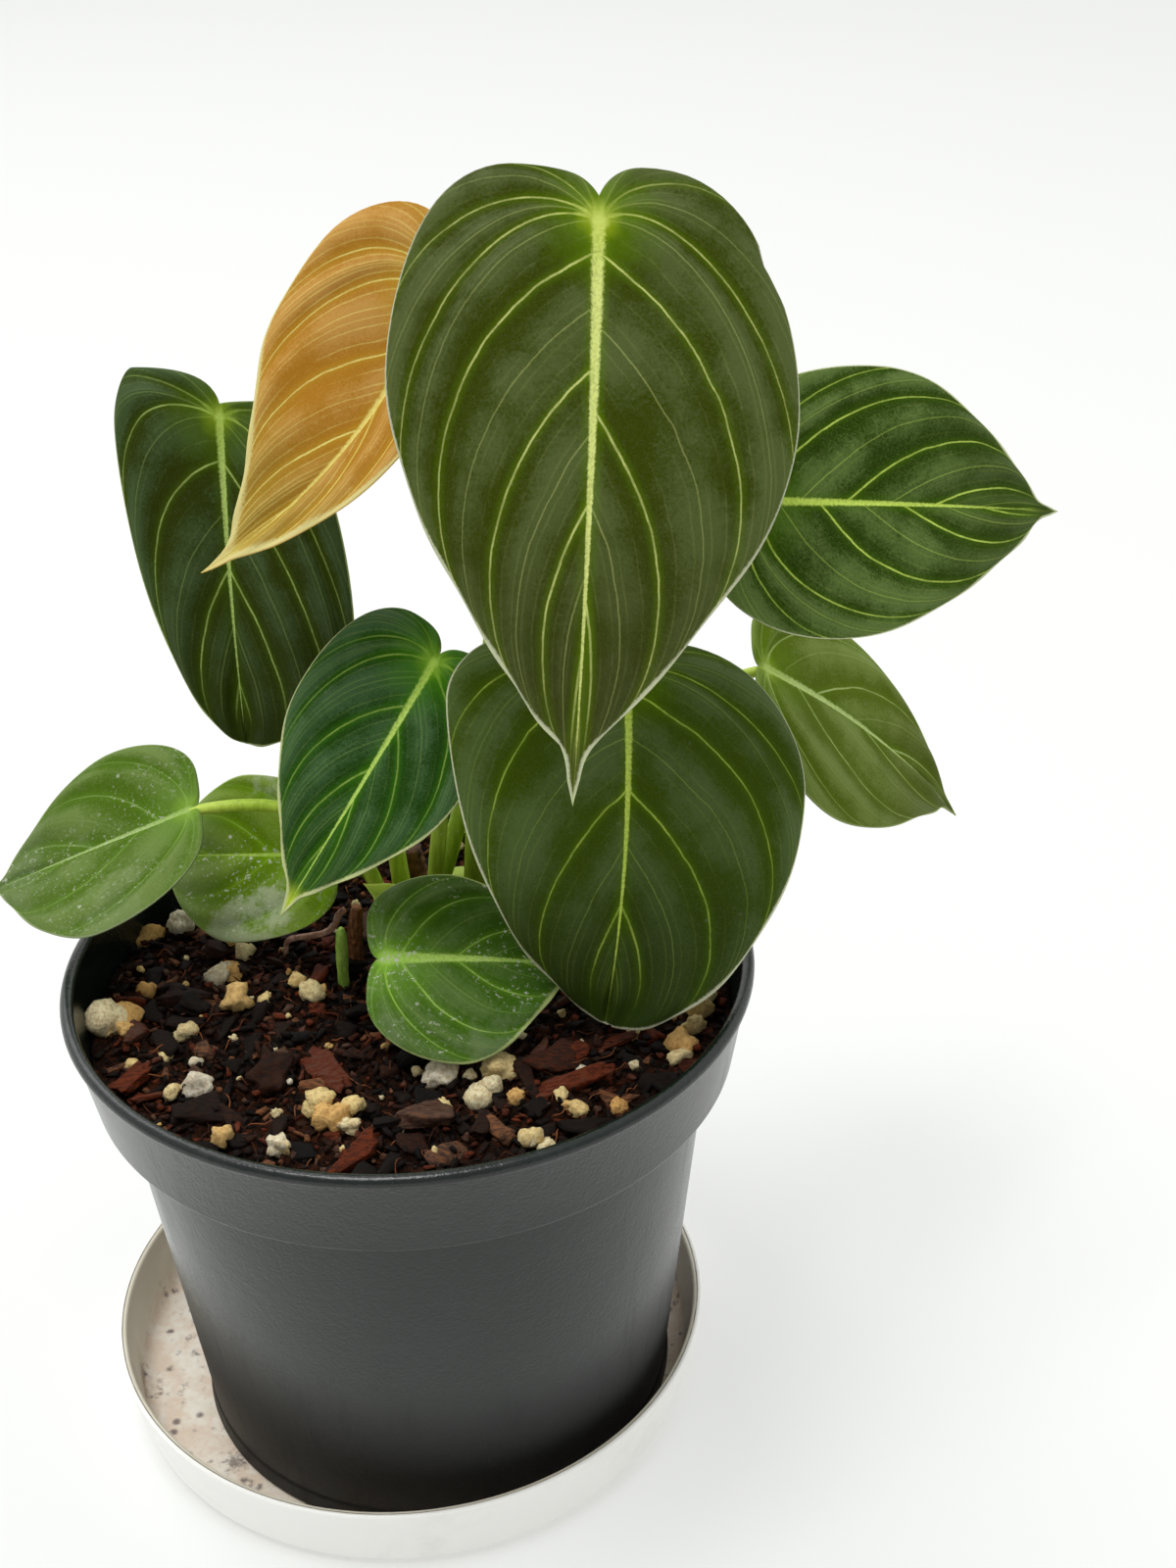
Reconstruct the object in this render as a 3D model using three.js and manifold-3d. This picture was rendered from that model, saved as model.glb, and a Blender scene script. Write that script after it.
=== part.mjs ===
import * as THREE from "three";
import { mergeVertices } from "three/addons/utils/BufferGeometryUtils.js";
import Module from "manifold-3d";

// A potted velvet-leaved philodendron: heart-shaped leaves on long petioles that rise from a
// crown in a round nursery pot, which stands a little off centre on a shallow saucer.
// Millimetres, +Z up. The origin is the centre of the saucer's flat underside; -Y is the front.

const GAP = 0.3;
const ROUND = 44;

// Saucer
const SAUCER_RIM_R = 61.3;
const SAUCER_H = 16.3;
const SAUCER_FOOT_R = 55;
const SAUCER_FLOOR = 2.2;
const SAUCER_WALL = 1.9;

// Pot
const POT_X = 5.5;
const POT_Y = -3.5;
const POT_Z = SAUCER_FLOOR + GAP;
const POT_H = 101;
const LIP_R = 65;
const BEAD_R = 1.3;
const COLLAR_H = 19;
const COLLAR_LOW_R = 61.3;
const BODY_TOP_R = 56.5;
const BODY_LOW_R = 47.6;
const FOOT_R = 48.4;
const FOOT_H = 4;
const POT_WALL = 1.3;
const POT_FLOOR = 1.6;
const DRAIN_R = 4;
const DRAIN_COUNT = 6;
const DRAIN_CIRCLE_R = 36;

// Soil
const SOIL_TOP = 92.6;
const SOIL_RELIEF = 0.5;
const HOLE_DEPTH = 12;
const BARK_COUNT = 62;
const GRAIN_COUNT = 44;
const ROOT_X = -16;
const ROOT_Y = 13.5;
const ROOT_CLEARANCE = 8;

// Leaves
const BLADE = 0.8;
const BLADE_ROWS = [0, 0.2, 0.48, 0.76, 1];
const VEIN_START = 0.38;
const VEIN_POWER = 1.7;
const LOBE_END = 0.2;
const WIDEST_END = 0.45;
const QUILT = 0.55;
const QUILT_LENGTH = 45;
const NECK_AT = 0.92;
const NECK_SPAN = 0.045;

const wasm = await Module();
wasm.setup();

function toSolid(geometry) {
  const bare = geometry.clone();
  bare.deleteAttribute("normal");
  bare.deleteAttribute("uv");
  const merged = mergeVertices(bare, 1e-4);
  return new wasm.Manifold(new wasm.Mesh({
    numProp: 3,
    vertProperties: new Float32Array(merged.attributes.position.array),
    triVerts: new Uint32Array(merged.index.array),
  }));
}

function toGeometry(solid) {
  const mesh = solid.getMesh();
  const geometry = new THREE.BufferGeometry();
  geometry.setAttribute("position", new THREE.BufferAttribute(new Float32Array(mesh.vertProperties), 3));
  geometry.setIndex(new THREE.BufferAttribute(new Uint32Array(mesh.triVerts), 1));
  geometry.computeVertexNormals();
  return geometry;
}

function indexed(points, triangles) {
  const geometry = new THREE.BufferGeometry().setFromPoints(points);
  geometry.setIndex(triangles);
  geometry.computeVertexNormals();
  return geometry;
}

// A turned piece: the profile's [radius, height] pairs run up the outside and down the inside.
function turned(profile) {
  const points = profile.map(([r, z]) => new THREE.Vector2(r, z));
  return new THREE.LatheGeometry(points, ROUND).rotateX(Math.PI / 2);
}

// The same number from 0 to 1 for the same k and salt, so that every build scatters alike.
function draw(k, salt) {
  const v = Math.sin(k * 12.9898 + salt * 78.233) * 43758.5453;
  return v - Math.floor(v);
}

// Saucer: flat underside, upright wall that flares to a rounded rim.
function saucer() {
  const inner = SAUCER_RIM_R - SAUCER_WALL;
  return turned([
    [0, 0],
    [SAUCER_FOOT_R, 0],
    [57.6, 1.1],
    [59, 3.6],
    [SAUCER_RIM_R - 0.4, SAUCER_H - 1.4],
    [SAUCER_RIM_R, SAUCER_H - 0.6],
    [SAUCER_RIM_R - 0.6, SAUCER_H],
    [inner + 0.3, SAUCER_H - 0.4],
    [inner - 0.2, SAUCER_H - 1.6],
    [57, 4.6],
    [55.8, SAUCER_FLOOR],
    [0, SAUCER_FLOOR],
  ]);
}

// Pot: tapering wall with a stepped collar, a rolled lip and drain holes in its floor.
function potProfile() {
  const lip = POT_H;
  const step = POT_H - COLLAR_H;
  const beadX = LIP_R - BEAD_R;
  const bead = [-60, 0, 60, 120, 180].map((deg) => {
    const a = THREE.MathUtils.degToRad(deg);
    return [beadX + BEAD_R * Math.cos(a), lip - BEAD_R + BEAD_R * Math.sin(a)];
  });
  return [
    [0, 0],
    [FOOT_R, 0],
    [FOOT_R - 0.2, FOOT_H - 0.6],
    [BODY_LOW_R + 0.3, FOOT_H],
    [BODY_TOP_R, step - 0.5],
    [COLLAR_LOW_R - 0.3, step],
    [COLLAR_LOW_R, step + 0.6],
    ...bead,
    [LIP_R - 2 * BEAD_R, lip - 2.4],
    [COLLAR_LOW_R - POT_WALL, step + 1.6],
    [BODY_TOP_R - POT_WALL, step + 0.9],
    [BODY_LOW_R - POT_WALL, POT_FLOOR],
    [0, POT_FLOOR],
  ];
}

function pot() {
  let solid = toSolid(turned(potProfile()));
  for (let k = 0; k < DRAIN_COUNT; k += 1) {
    const a = (2 * Math.PI * (k + 0.5)) / DRAIN_COUNT;
    const hole = new THREE.CylinderGeometry(DRAIN_R, DRAIN_R, 6, 14).rotateX(Math.PI / 2);
    hole.translate(DRAIN_CIRCLE_R * Math.cos(a), DRAIN_CIRCLE_R * Math.sin(a), POT_FLOOR / 2);
    solid = solid.subtract(toSolid(hole));
  }
  return toGeometry(solid);
}

// Leaf outline: one half of the blade from the sinus (m = 0), back round the lobe, past the
// widest place and on to the drip tip (m = 1). Returns [along the midrib, out from it].
function halfOutline(leaf, side, m) {
  const long = leaf.length;
  const pairs = [leaf.half, leaf.widest, leaf.lobe, leaf.shoulder, leaf.point];
  const [half, widest, lobe, shoulder, point] = pairs.map((pair) => pair[side]);
  const sinus = new THREE.Vector2(-leaf.sinus, 0);
  const back = new THREE.Vector2(-lobe, shoulder * half);
  const wide = new THREE.Vector2(widest * long, half);
  const tip = new THREE.Vector2(long, 0);
  const lobeIn = new THREE.Vector2(-leaf.sinus - (lobe - leaf.sinus) * 0.75, 0.02 * long);
  const lobeOut = new THREE.Vector2(-lobe, shoulder * half * 0.45);
  const flankIn = new THREE.Vector2(-lobe, shoulder * half + (half - shoulder * half) * 0.62);
  const flankOut = new THREE.Vector2(widest * long - (widest * long + lobe) * 0.5, half);
  const sideIn = new THREE.Vector2(widest * long + (1 - widest) * long * 0.42, half);
  const sideOut = new THREE.Vector2(leaf.taper * long, point);
  if (m < LOBE_END) {
    return new THREE.CubicBezierCurve(sinus, lobeIn, lobeOut, back).getPoint(m / LOBE_END);
  }
  if (m < WIDEST_END) {
    const k = (m - LOBE_END) / (WIDEST_END - LOBE_END);
    return new THREE.CubicBezierCurve(back, flankIn, flankOut, wide).getPoint(k);
  }
  const k = (m - WIDEST_END) / (1 - WIDEST_END);
  const spot = new THREE.CubicBezierCurve(wide, sideIn, sideOut, tip).getPoint(k);
  spot.y *= 1 - leaf.neck * Math.exp(-(((spot.x / long - NECK_AT) / NECK_SPAN) ** 2));
  return spot;
}

// A side vein leaves the midrib at its own place and bends towards the tip as it nears the
// margin. m names the vein by its end on the outline, t runs from the midrib to the margin.
function veinPoint(leaf, side, m, t) {
  const start = m > VEIN_START ? ((m - VEIN_START) / (1 - VEIN_START)) ** VEIN_POWER : 0;
  const root = new THREE.Vector2(start * leaf.length, 0);
  const end = halfOutline(leaf, side, m);
  const lag = Math.min(0.45 * m, 0.17, 0.4 * (1 - m));
  const aim = halfOutline(leaf, side, m - lag).sub(root).multiplyScalar(0.82).add(root);
  return new THREE.QuadraticBezierCurve(root, aim, end).getPoint(t);
}

// The blade in space: the midrib is a bent curve from base to tip, and each half slopes up by
// its fold and then droops towards the margin. Returns the point, its normal and its tangent.
function bladeFrame(leaf, along) {
  const k = THREE.MathUtils.clamp(along / leaf.length, 0, 1);
  const point = leaf.rib.getPoint(k);
  const tangent = leaf.rib.getTangent(k);
  const up = new THREE.Vector3(0, 0, 1).addScaledVector(tangent, -tangent.z).normalize();
  const across = new THREE.Vector3().crossVectors(tangent, up);
  const angle = THREE.MathUtils.degToRad(leaf.roll + leaf.twist * k);
  const normal = up.clone().multiplyScalar(Math.cos(angle)).addScaledVector(across, Math.sin(angle));
  const lateral = across.multiplyScalar(Math.cos(angle)).addScaledVector(up, -Math.sin(angle));
  point.addScaledVector(tangent, Math.min(along, 0));
  return { point, tangent, normal, lateral };
}

function bladePoint(leaf, side, m, t) {
  const flat = veinPoint(leaf, side, m, t);
  const out = flat.y;
  const fold = THREE.MathUtils.degToRad(leaf.fold[side]);
  const { point, normal, lateral } = bladeFrame(leaf, flat.x);
  const relief = QUILT * Math.min(1, leaf.length / QUILT_LENGTH);
  const quilt = relief * Math.sin(Math.PI * leaf.veins * m) ** 2 * 4 * t * (1 - t);
  const lobeDrop = (1.5 * Math.min(flat.x, 0) ** 2) / leaf.length;
  const rise = out * Math.sin(fold) - (leaf.droop * out * out) / leaf.half[side] - lobeDrop + quilt;
  const sign = side === 0 ? 1 : -1;
  const place = point.addScaledVector(lateral, sign * out * Math.cos(fold)).addScaledVector(normal, rise);
  return { place, normal };
}

// The blade as a thin solid: the same triangles on both faces, which lie half a thickness off
// along the midrib's normal, joined round the margin. The columns follow the side veins and the
// swellings between them.
function bladeGeometry(leaf) {
  const columns = 2 * leaf.veins;
  const points = [];
  const seen = new Map();
  const vertex = (side, i, j) => {
    const point = bladePoint(leaf, side, i / columns, BLADE_ROWS[j]);
    const key = point.place.toArray().map((v) => Math.round(v * 50)).join(" ");
    if (!seen.has(key)) {
      seen.set(key, points.push(point) - 1);
    }
    return seen.get(key);
  };
  const faces = [];
  const addFace = (a, b, c) => {
    if (a !== b && b !== c && c !== a) {
      faces.push([a, b, c]);
    }
  };
  const last = BLADE_ROWS.length - 1;
  const margin = [];
  for (let side = 0; side < 2; side += 1) {
    for (let i = 0; i < columns; i += 1) {
      for (let j = 0; j < last; j += 1) {
        const corners = [[i, j], [i + 1, j], [i + 1, j + 1], [i, j + 1]];
        const quad = corners.map(([m, n]) => vertex(side, m, n));
        const [a, b, c, d] = side === 0 ? quad : [quad[3], quad[2], quad[1], quad[0]];
        addFace(a, b, c);
        addFace(a, c, d);
      }
      const edge = [vertex(side, i, last), vertex(side, i + 1, last)];
      margin.push(side === 0 ? edge : edge.reverse());
    }
  }
  const offset = (sign) => points.map(({ place, normal }) => place.clone()
    .addScaledVector(normal, (sign * BLADE) / 2));
  const count = points.length;
  const shell = faces.flatMap(([a, b, c]) => [a, b, c, count + a, count + c, count + b]);
  const rim = margin.flatMap(([a, b]) => [a, b, count + b, a, count + b, count + a]);
  return indexed([...offset(-1), ...offset(1)], [...shell, ...rim]);
}

// A stalk: a round tube through the points, its radius given at every point.
function stalkGeometry(path, radii, sides) {
  const points = [];
  const triangles = [];
  const last = path.length - 1;
  const normal = new THREE.Vector3(1, 0, 0);
  path.forEach((p, i) => {
    const ahead = path[Math.min(i + 1, last)];
    const behind = path[Math.max(i - 1, 0)];
    const tangent = ahead.clone().sub(behind).normalize();
    normal.addScaledVector(tangent, -normal.dot(tangent)).normalize();
    const side = new THREE.Vector3().crossVectors(tangent, normal);
    for (let k = 0; k < sides; k += 1) {
      const a = (2 * Math.PI * k) / sides;
      const spoke = normal.clone().multiplyScalar(Math.cos(a)).addScaledVector(side, Math.sin(a));
      points.push(p.clone().addScaledVector(spoke, radii[i]));
    }
  });
  const ring = (i, k) => i * sides + (k % sides);
  for (let i = 0; i < last; i += 1) {
    for (let k = 0; k < sides; k += 1) {
      triangles.push(ring(i, k), ring(i, k + 1), ring(i + 1, k + 1));
      triangles.push(ring(i, k), ring(i + 1, k + 1), ring(i + 1, k));
    }
  }
  for (let k = 1; k < sides - 1; k += 1) {
    triangles.push(ring(0, 0), ring(0, k + 1), ring(0, k));
    triangles.push(ring(last, 0), ring(last, k), ring(last, k + 1));
  }
  return indexed(points, triangles);
}

// The leaves. base and tip are the midrib's ends; arch and sweep bend it towards its face and
// sideways; half, widest, lobe, shoulder and point shape the two halves of the outline; taper is
// where along it they close in on the tip, and neck how much they narrow just above it; foot is
// where the petiole enters the soil, rise how far it climbs, lean how far it strays as it does,
// and reach how far behind the blade and before its base it turns towards it.
const LEAVES = [
  {
    name: "front", base: [44, 0, 239.5], tip: [37.5, -45, 159], arch: 8, sweep: -0.6, roll: -11, twist: 5,
    fold: [5, -2], droop: 0.14, half: [32.7, 33.5], widest: [0.26, 0.31], lobe: [9, 10.6],
    shoulder: [0.4, 0.33], sinus: 4.4, point: [3.9, 1.7], taper: 0.84, neck: 0.5, veins: 9,
    foot: [17, 15], rise: 60, reach: [26, 6], stalk: 1.9, color: 0x39421f,
  },
  {
    name: "gold", base: [17, 15, 224.5], tip: [-25.5, 0, 181], arch: -7.7, sweep: -6.4, roll: -25, twist: -7,
    fold: [17, 23], droop: 0.04, half: [25.7, 15.5], widest: [0.27, 0.3], lobe: [11.6, 7.6],
    shoulder: [0.41, 0.42], sinus: 2.8, point: [0.6, 3.3], taper: 0.84, neck: 0.35, veins: 9,
    foot: [6, 17], lean: [24, 2], rise: 60, reach: [20, 5], stalk: 1.6, color: 0xb08a35,
  },
  {
    name: "left", base: [-25.5, 35, 196.5], tip: [-26, 25, 134], arch: 5, sweep: -0.2, roll: 2, twist: 4,
    fold: [11, 16], droop: 0.12, half: [19.7, 25], widest: [0.04, 0.61], lobe: [9, 2.8],
    shoulder: [0.82, 0.33], sinus: 2.4, point: [9, 14], taper: 1, neck: 0, veins: 8,
    foot: [2.5, 22], rise: 45, reach: [18, 4], stalk: 1.6, color: 0x27401c,
  },
  {
    name: "mid_left", base: [13, 5, 160], tip: [-16, -15, 120], arch: 1, sweep: -1, roll: -19, twist: -5,
    fold: [15, 8], droop: 0.11, half: [21, 19], widest: [0.28, 0.32], lobe: [6.1, 4.8],
    shoulder: [0.41, 0.42], sinus: 2, point: [2.6, 2], taper: 0.84, neck: 0.3, veins: 8,
    foot: [9, 11], rise: 25, reach: [12, 3], stalk: 1.5, color: 0x1d4530,
  },
  {
    name: "lower_front", base: [47.5, 8, 156], tip: [42, -19.5, 97.6], arch: 12, sweep: -0.4, roll: -24, twist: -8,
    fold: [11, 3], droop: 0.15, half: [36, 38], widest: [0.13, 0.29], lobe: [5.2, 6.7],
    shoulder: [0.4, 0.28], sinus: 3, point: [8.6, 13.6], taper: 1.02, neck: 0, veins: 8,
    foot: [24, 13.5], rise: 24, reach: [8, 2], stalk: 1.8, color: 0x24411f,
  },
  {
    name: "right", base: [70.5, 5, 189.5], tip: [131, 40, 171.5], arch: 6.6, sweep: 1.4, roll: 55, twist: 5,
    fold: [-1, 17], droop: 0.12, half: [23.8, 25], widest: [0.2, 0.36], lobe: [9, 6.9],
    shoulder: [0.42, 0.39], sinus: 3.3, point: [3.1, 2.5], taper: 0.84, neck: 0.35, veins: 9,
    foot: [30.5, 22], rise: 50, reach: [14, 6], stalk: 1.7, color: 0x1e451f,
  },
  {
    name: "lower_right", base: [75.5, 35, 142], tip: [119, 55, 95.5], arch: 4.8, sweep: -2.6, roll: 34, twist: 7,
    fold: [9, 16], droop: 0.16, half: [28, 20], widest: [0.24, 0.29], lobe: [4, 4],
    shoulder: [0.42, 0.4], sinus: 2, point: [2.2, 3.1], taper: 0.84, neck: 0.3, veins: 7,
    foot: [33.5, 27], rise: 26, reach: [10, 10], stalk: 1.4, color: 0x35551f,
  },
  {
    name: "far_left", base: [-35.5, 10, 128], tip: [-78, 15, 107.5], arch: 3.1, sweep: -2.5, roll: -24, twist: -7,
    fold: [16, 16], droop: 0.11, half: [19, 23.5], widest: [0.31, 0.35], lobe: [3, 3],
    shoulder: [0.39, 0.35], sinus: 1.4, point: [2, 2.2], taper: 0.84, neck: 0.15, veins: 7,
    foot: [0.5, 10.5], rise: 30, reach: [5, 20], stalk: 1.4, color: 0x3c5a3a,
  },
  {
    name: "low_left", base: [-13.5, 15, 114.5], tip: [-48, 30, 106], arch: 6.1, sweep: -1.3, roll: -49, twist: -2,
    fold: [16, 13], droop: 0.08, half: [16, 18], widest: [0.34, 0.35], lobe: [4.6, 5],
    shoulder: [0.42, 0.41], sinus: 1.7, point: [1.5, 1.5], taper: 0.84, neck: 0.15, veins: 7,
    foot: [-2.5, 27], rise: 9, reach: [5, 5], stalk: 1.2, color: 0x3f6b2c,
  },
  {
    name: "low_centre", base: [2.5, -14, 109.5], tip: [39, -8, 102.5], arch: 3.3, sweep: 0.9, roll: 24, twist: 3,
    fold: [0, 11], droop: 0.12, half: [20.5, 18], widest: [0.35, 0.3], lobe: [3.8, 3.9],
    shoulder: [0.38, 0.45], sinus: 1.7, point: [1.8, 1.4], taper: 0.84, neck: 0.15, veins: 7,
    foot: [9, 1.5], rise: 6, reach: [5, 2], stalk: 1.2, color: 0x4c7a30,
  },
  {
    name: "back", base: [24, 30, 130], tip: [21, 22, 104], arch: 2, sweep: 0, roll: 0, twist: 0,
    fold: [8, 12], droop: 0.12, half: [11.5, 9], widest: [0.36, 0.36], lobe: [2.5, 2.5],
    shoulder: [0.42, 0.42], sinus: 1.2, point: [1, 1], taper: 0.84, neck: 0.15, veins: 6,
    foot: [17.5, 32.5], rise: 14, reach: [6, 2], stalk: 1.1, color: 0x6b8a2c,
  },
  {
    name: "seedling", base: [11, 23, 101.5], tip: [19.5, 24, 100], arch: 1.6, sweep: 0, roll: 20, twist: 0,
    fold: [6, 6], droop: 0.2, half: [4.4, 4.8], widest: [0.42, 0.42], lobe: [1.2, 1.2],
    shoulder: [0.45, 0.45], sinus: 0.6, point: [0.8, 0.8], taper: 0.84, neck: 0.1, veins: 5,
    foot: [11, 27.5], rise: 2, reach: [2.5, 1], stalk: 0.9, color: 0x86ad5a,
  },
];

function prepare(leaf) {
  const base = new THREE.Vector3(...leaf.base);
  const tip = new THREE.Vector3(...leaf.tip);
  const chord = tip.clone().sub(base);
  const length = chord.length();
  chord.normalize();
  const up = new THREE.Vector3(0, 0, 1).addScaledVector(chord, -chord.z).normalize();
  const across = new THREE.Vector3().crossVectors(chord, up);
  const a = THREE.MathUtils.degToRad(leaf.roll);
  const face = up.clone().multiplyScalar(Math.cos(a)).addScaledVector(across, Math.sin(a));
  const lateral = across.multiplyScalar(Math.cos(a)).addScaledVector(up, -Math.sin(a));
  const bend = base.clone().add(tip).multiplyScalar(0.5)
    .addScaledVector(face, leaf.arch).addScaledVector(lateral, leaf.sweep);
  return { ...leaf, length, rib: new THREE.QuadraticBezierCurve3(base, bend, tip) };
}

// A petiole stands upright in its hole, climbs, and arrives at the blade from behind.
function petioleGeometry(leaf) {
  const { point, normal, tangent } = bladeFrame(leaf, 0);
  const [behind, before] = leaf.reach;
  const slant = before / Math.hypot(behind, before);
  const end = point.clone().addScaledVector(normal, -(BLADE / 2 + GAP + 0.15 + 0.75 * leaf.stalk * slant));
  const arrive = end.clone().addScaledVector(normal, -behind).addScaledVector(tangent, -before);
  const [x, y] = leaf.foot;
  const ground = new THREE.Vector3(x, y, SOIL_TOP + 1.5);
  const [leanX, leanY] = leaf.lean ?? [0, 0];
  const climb = ground.clone().add(new THREE.Vector3(leanX, leanY, leaf.rise));
  const arc = new THREE.CubicBezierCurve3(ground, climb, arrive, end);
  const steps = leaf.stalk > 1.3 ? 11 : 8;
  const path = [new THREE.Vector3(x, y, SOIL_TOP - HOLE_DEPTH + 1), ...arc.getPoints(steps)];
  const radii = path.map((p, i) => leaf.stalk * (i < 2 ? 1.15 : 1.15 - (0.4 * (i - 1)) / steps));
  return stalkGeometry(path, radii, 8);
}

// Short growths at the crown: [x, y, z] points from the root end up, with a radius at each.
const GROWTHS = {
  old_stem: {
    path: [[4, 34, 82], [4, 34, 94], [3.6, 33.4, 99], [3.2, 33, 104.5]],
    radii: [3, 3, 2.8, 2.3], sides: 9, color: 0x5a3a28, roughness: 0.95,
  },
  papery_stem: {
    path: [[-6.5, 9.5, 82], [-6.5, 9.5, 94], [-6.2, 9.4, 100], [-5.4, 9, 106]],
    radii: [1.4, 1.4, 1.5, 1], sides: 8, color: 0x6e4a30, roughness: 0.95,
  },
  shoot: {
    path: [[-8.5, 3.5, 82], [-8.5, 3.5, 94], [-8.3, 3.4, 99], [-8.1, 3.3, 103.5], [-8, 3.2, 105]],
    radii: [1.1, 1.1, 1.2, 1, 0.5], sides: 8, color: 0x5f8f3a, roughness: 0.5,
  },
  aerial_root: {
    path: [
      [-20.9, 14.3, 84], [-20.9, 14.3, 93], [-20, 14.1, 95.2], [-18, 13.7, 96.1], [-15, 13.2, 96.8],
      [-12.2, 12.6, 98], [-10.4, 12, 100], [-9.4, 11.4, 102.6], [-8.1, 9.9, 104.8],
    ],
    radii: [0.5, 0.5, 0.6, 0.6, 0.65, 0.65, 0.7, 0.7, 0.6], sides: 6, color: 0x9a6a58, roughness: 0.7,
  },
};

// A pale sheath leaf that once wrapped a new leaf, curling away from the crown.
const CATAPHYLL = {
  name: "cataphyll", base: [5.5, 6, 106], tip: [-3, 2.5, 115.5], arch: 2.2, sweep: 0, roll: -60, twist: 0,
  fold: [24, 24], droop: 0.05, half: [3.4, 3.4], widest: [0.4, 0.4], lobe: [0.8, 0.8],
  shoulder: [0.45, 0.45], sinus: 0.4, point: [0.6, 0.6], taper: 0.84, neck: 0.1, veins: 5,
  foot: [7.5, 6.3], rise: 4, reach: [3, 1], stalk: 0.9, color: 0xb9cc7a,
};

// Where stalks enter the soil: [x, y, hole radius].
function holes() {
  const petioles = [...LEAVES, CATAPHYLL].map((leaf) => [...leaf.foot, leaf.stalk * 1.15 + GAP + 0.25]);
  const growths = Object.values(GROWTHS).map(({ path: [[x, y]], radii: [r] }) => [x, y, r + GAP + 0.25]);
  return [...petioles, ...growths];
}

function soilHeight(x, y) {
  return SOIL_TOP + SOIL_RELIEF * Math.sin(x * 0.31 + 1.3) * Math.cos(y * 0.27 - 0.4);
}

// The bed: fills the pot inside its wall, its top a gently uneven disc.
function bedGeometry() {
  const innerAt = (z) => {
    const k = (z - POT_FLOOR) / (POT_H - COLLAR_H + 0.9 - POT_FLOOR);
    return BODY_LOW_R - POT_WALL + k * (BODY_TOP_R - BODY_LOW_R) - GAP - 0.1;
  };
  const shelf = POT_H - COLLAR_H + 1.6 + GAP + 0.3;
  const collarR = COLLAR_LOW_R - POT_WALL - GAP - 0.2;
  const rings = [0.2, 0.4, 0.6, 0.8];
  const profile = [
    [0, POT_FLOOR + GAP],
    [innerAt(POT_FLOOR + GAP), POT_FLOOR + GAP],
    [innerAt(shelf - 1.2), shelf - 1.2],
    [innerAt(shelf - 1.2), shelf],
    [collarR, shelf + 0.4],
    [collarR + 0.6, SOIL_TOP - POT_Z],
    ...rings.toReversed().map((r) => [r * collarR, SOIL_TOP - POT_Z]),
    [0, SOIL_TOP - POT_Z],
  ];
  const bed = turned(profile).translate(POT_X, POT_Y, POT_Z);
  const place = bed.attributes.position;
  for (let n = 0; n < place.count; n += 1) {
    const onTop = place.getZ(n) > SOIL_TOP - 0.01;
    const inside = Math.hypot(place.getX(n) - POT_X, place.getY(n) - POT_Y) < collarR;
    if (onTop && inside) {
      place.setZ(n, soilHeight(place.getX(n), place.getY(n)));
    }
  }
  return bed;
}

// Bark chips and pumice grains lie on a golden-angle spiral, each with its own size and turn.
function scatter(count, salt, reach, clearance, make) {
  const solids = [];
  for (let k = 0; k < count; k += 1) {
    const r = reach * Math.sqrt((k + 0.5 + 0.6 * draw(k, salt)) / (count + 0.6));
    const a = k * 2.39996 + salt;
    const x = POT_X + r * Math.cos(a);
    const y = POT_Y + r * Math.sin(a);
    const clear = holes().every(([hx, hy, hr]) => Math.hypot(x - hx, y - hy) > hr + clearance);
    const offRoot = Math.hypot(x - ROOT_X, y - ROOT_Y) > ROOT_CLEARANCE;
    if (clear && offRoot) {
      solids.push(toSolid(make(k, x, y)));
    }
  }
  return solids;
}

function barkChip(k, x, y) {
  const chip = new THREE.BoxGeometry(6 + 6 * draw(k, 1), 3 + 2.4 * draw(k, 2), 2.6 + 1.2 * draw(k, 3));
  chip.rotateX(0.5 * (draw(k, 4) - 0.5)).rotateY(0.35 * (draw(k, 5) - 0.5)).rotateZ(Math.PI * draw(k, 6));
  return chip.translate(x, y, soilHeight(x, y) - 0.3 + 0.5 * draw(k, 7));
}

function pumiceGrain(k, x, y) {
  const grain = new THREE.IcosahedronGeometry(1.5 + 1.1 * draw(k, 11), 0);
  grain.scale(1.15, 0.9, 0.85).rotateZ(Math.PI * draw(k, 12));
  return grain.translate(x, y, soilHeight(x, y) + 0.5);
}

function soil() {
  let solid = toSolid(bedGeometry());
  const chips = scatter(BARK_COUNT, 1.7, COLLAR_LOW_R - 10, 6.5, barkChip);
  const grains = scatter(GRAIN_COUNT, 4.1, COLLAR_LOW_R - 6, 3, pumiceGrain);
  for (const piece of [...chips, ...grains]) {
    solid = solid.add(piece);
  }
  for (const [x, y, r] of holes()) {
    const hole = new THREE.CylinderGeometry(r, r, HOLE_DEPTH + 10, 10).rotateX(Math.PI / 2);
    solid = solid.subtract(toSolid(hole.translate(x, y, SOIL_TOP - HOLE_DEPTH + (HOLE_DEPTH + 10) / 2)));
  }
  return toGeometry(solid);
}

function material(color, roughness) {
  return new THREE.MeshStandardMaterial({ color, roughness, metalness: 0, side: THREE.DoubleSide });
}

const philodendron = new THREE.Group();

function addMesh(name, geometry, color, roughness) {
  const mesh = new THREE.Mesh(geometry, material(color, roughness));
  mesh.name = name;
  philodendron.add(mesh);
  return mesh;
}

addMesh("saucer", saucer(), 0xe4e2dd, 0.45);
addMesh("pot", pot(), 0x26292b, 0.6).position.set(POT_X, POT_Y, POT_Z);
addMesh("soil", soil(), 0x33231b, 0.95);

for (const [name, growth] of Object.entries(GROWTHS)) {
  const path = growth.path.map((p) => new THREE.Vector3(...p));
  addMesh(name, stalkGeometry(path, growth.radii, growth.sides), growth.color, growth.roughness);
}

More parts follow.
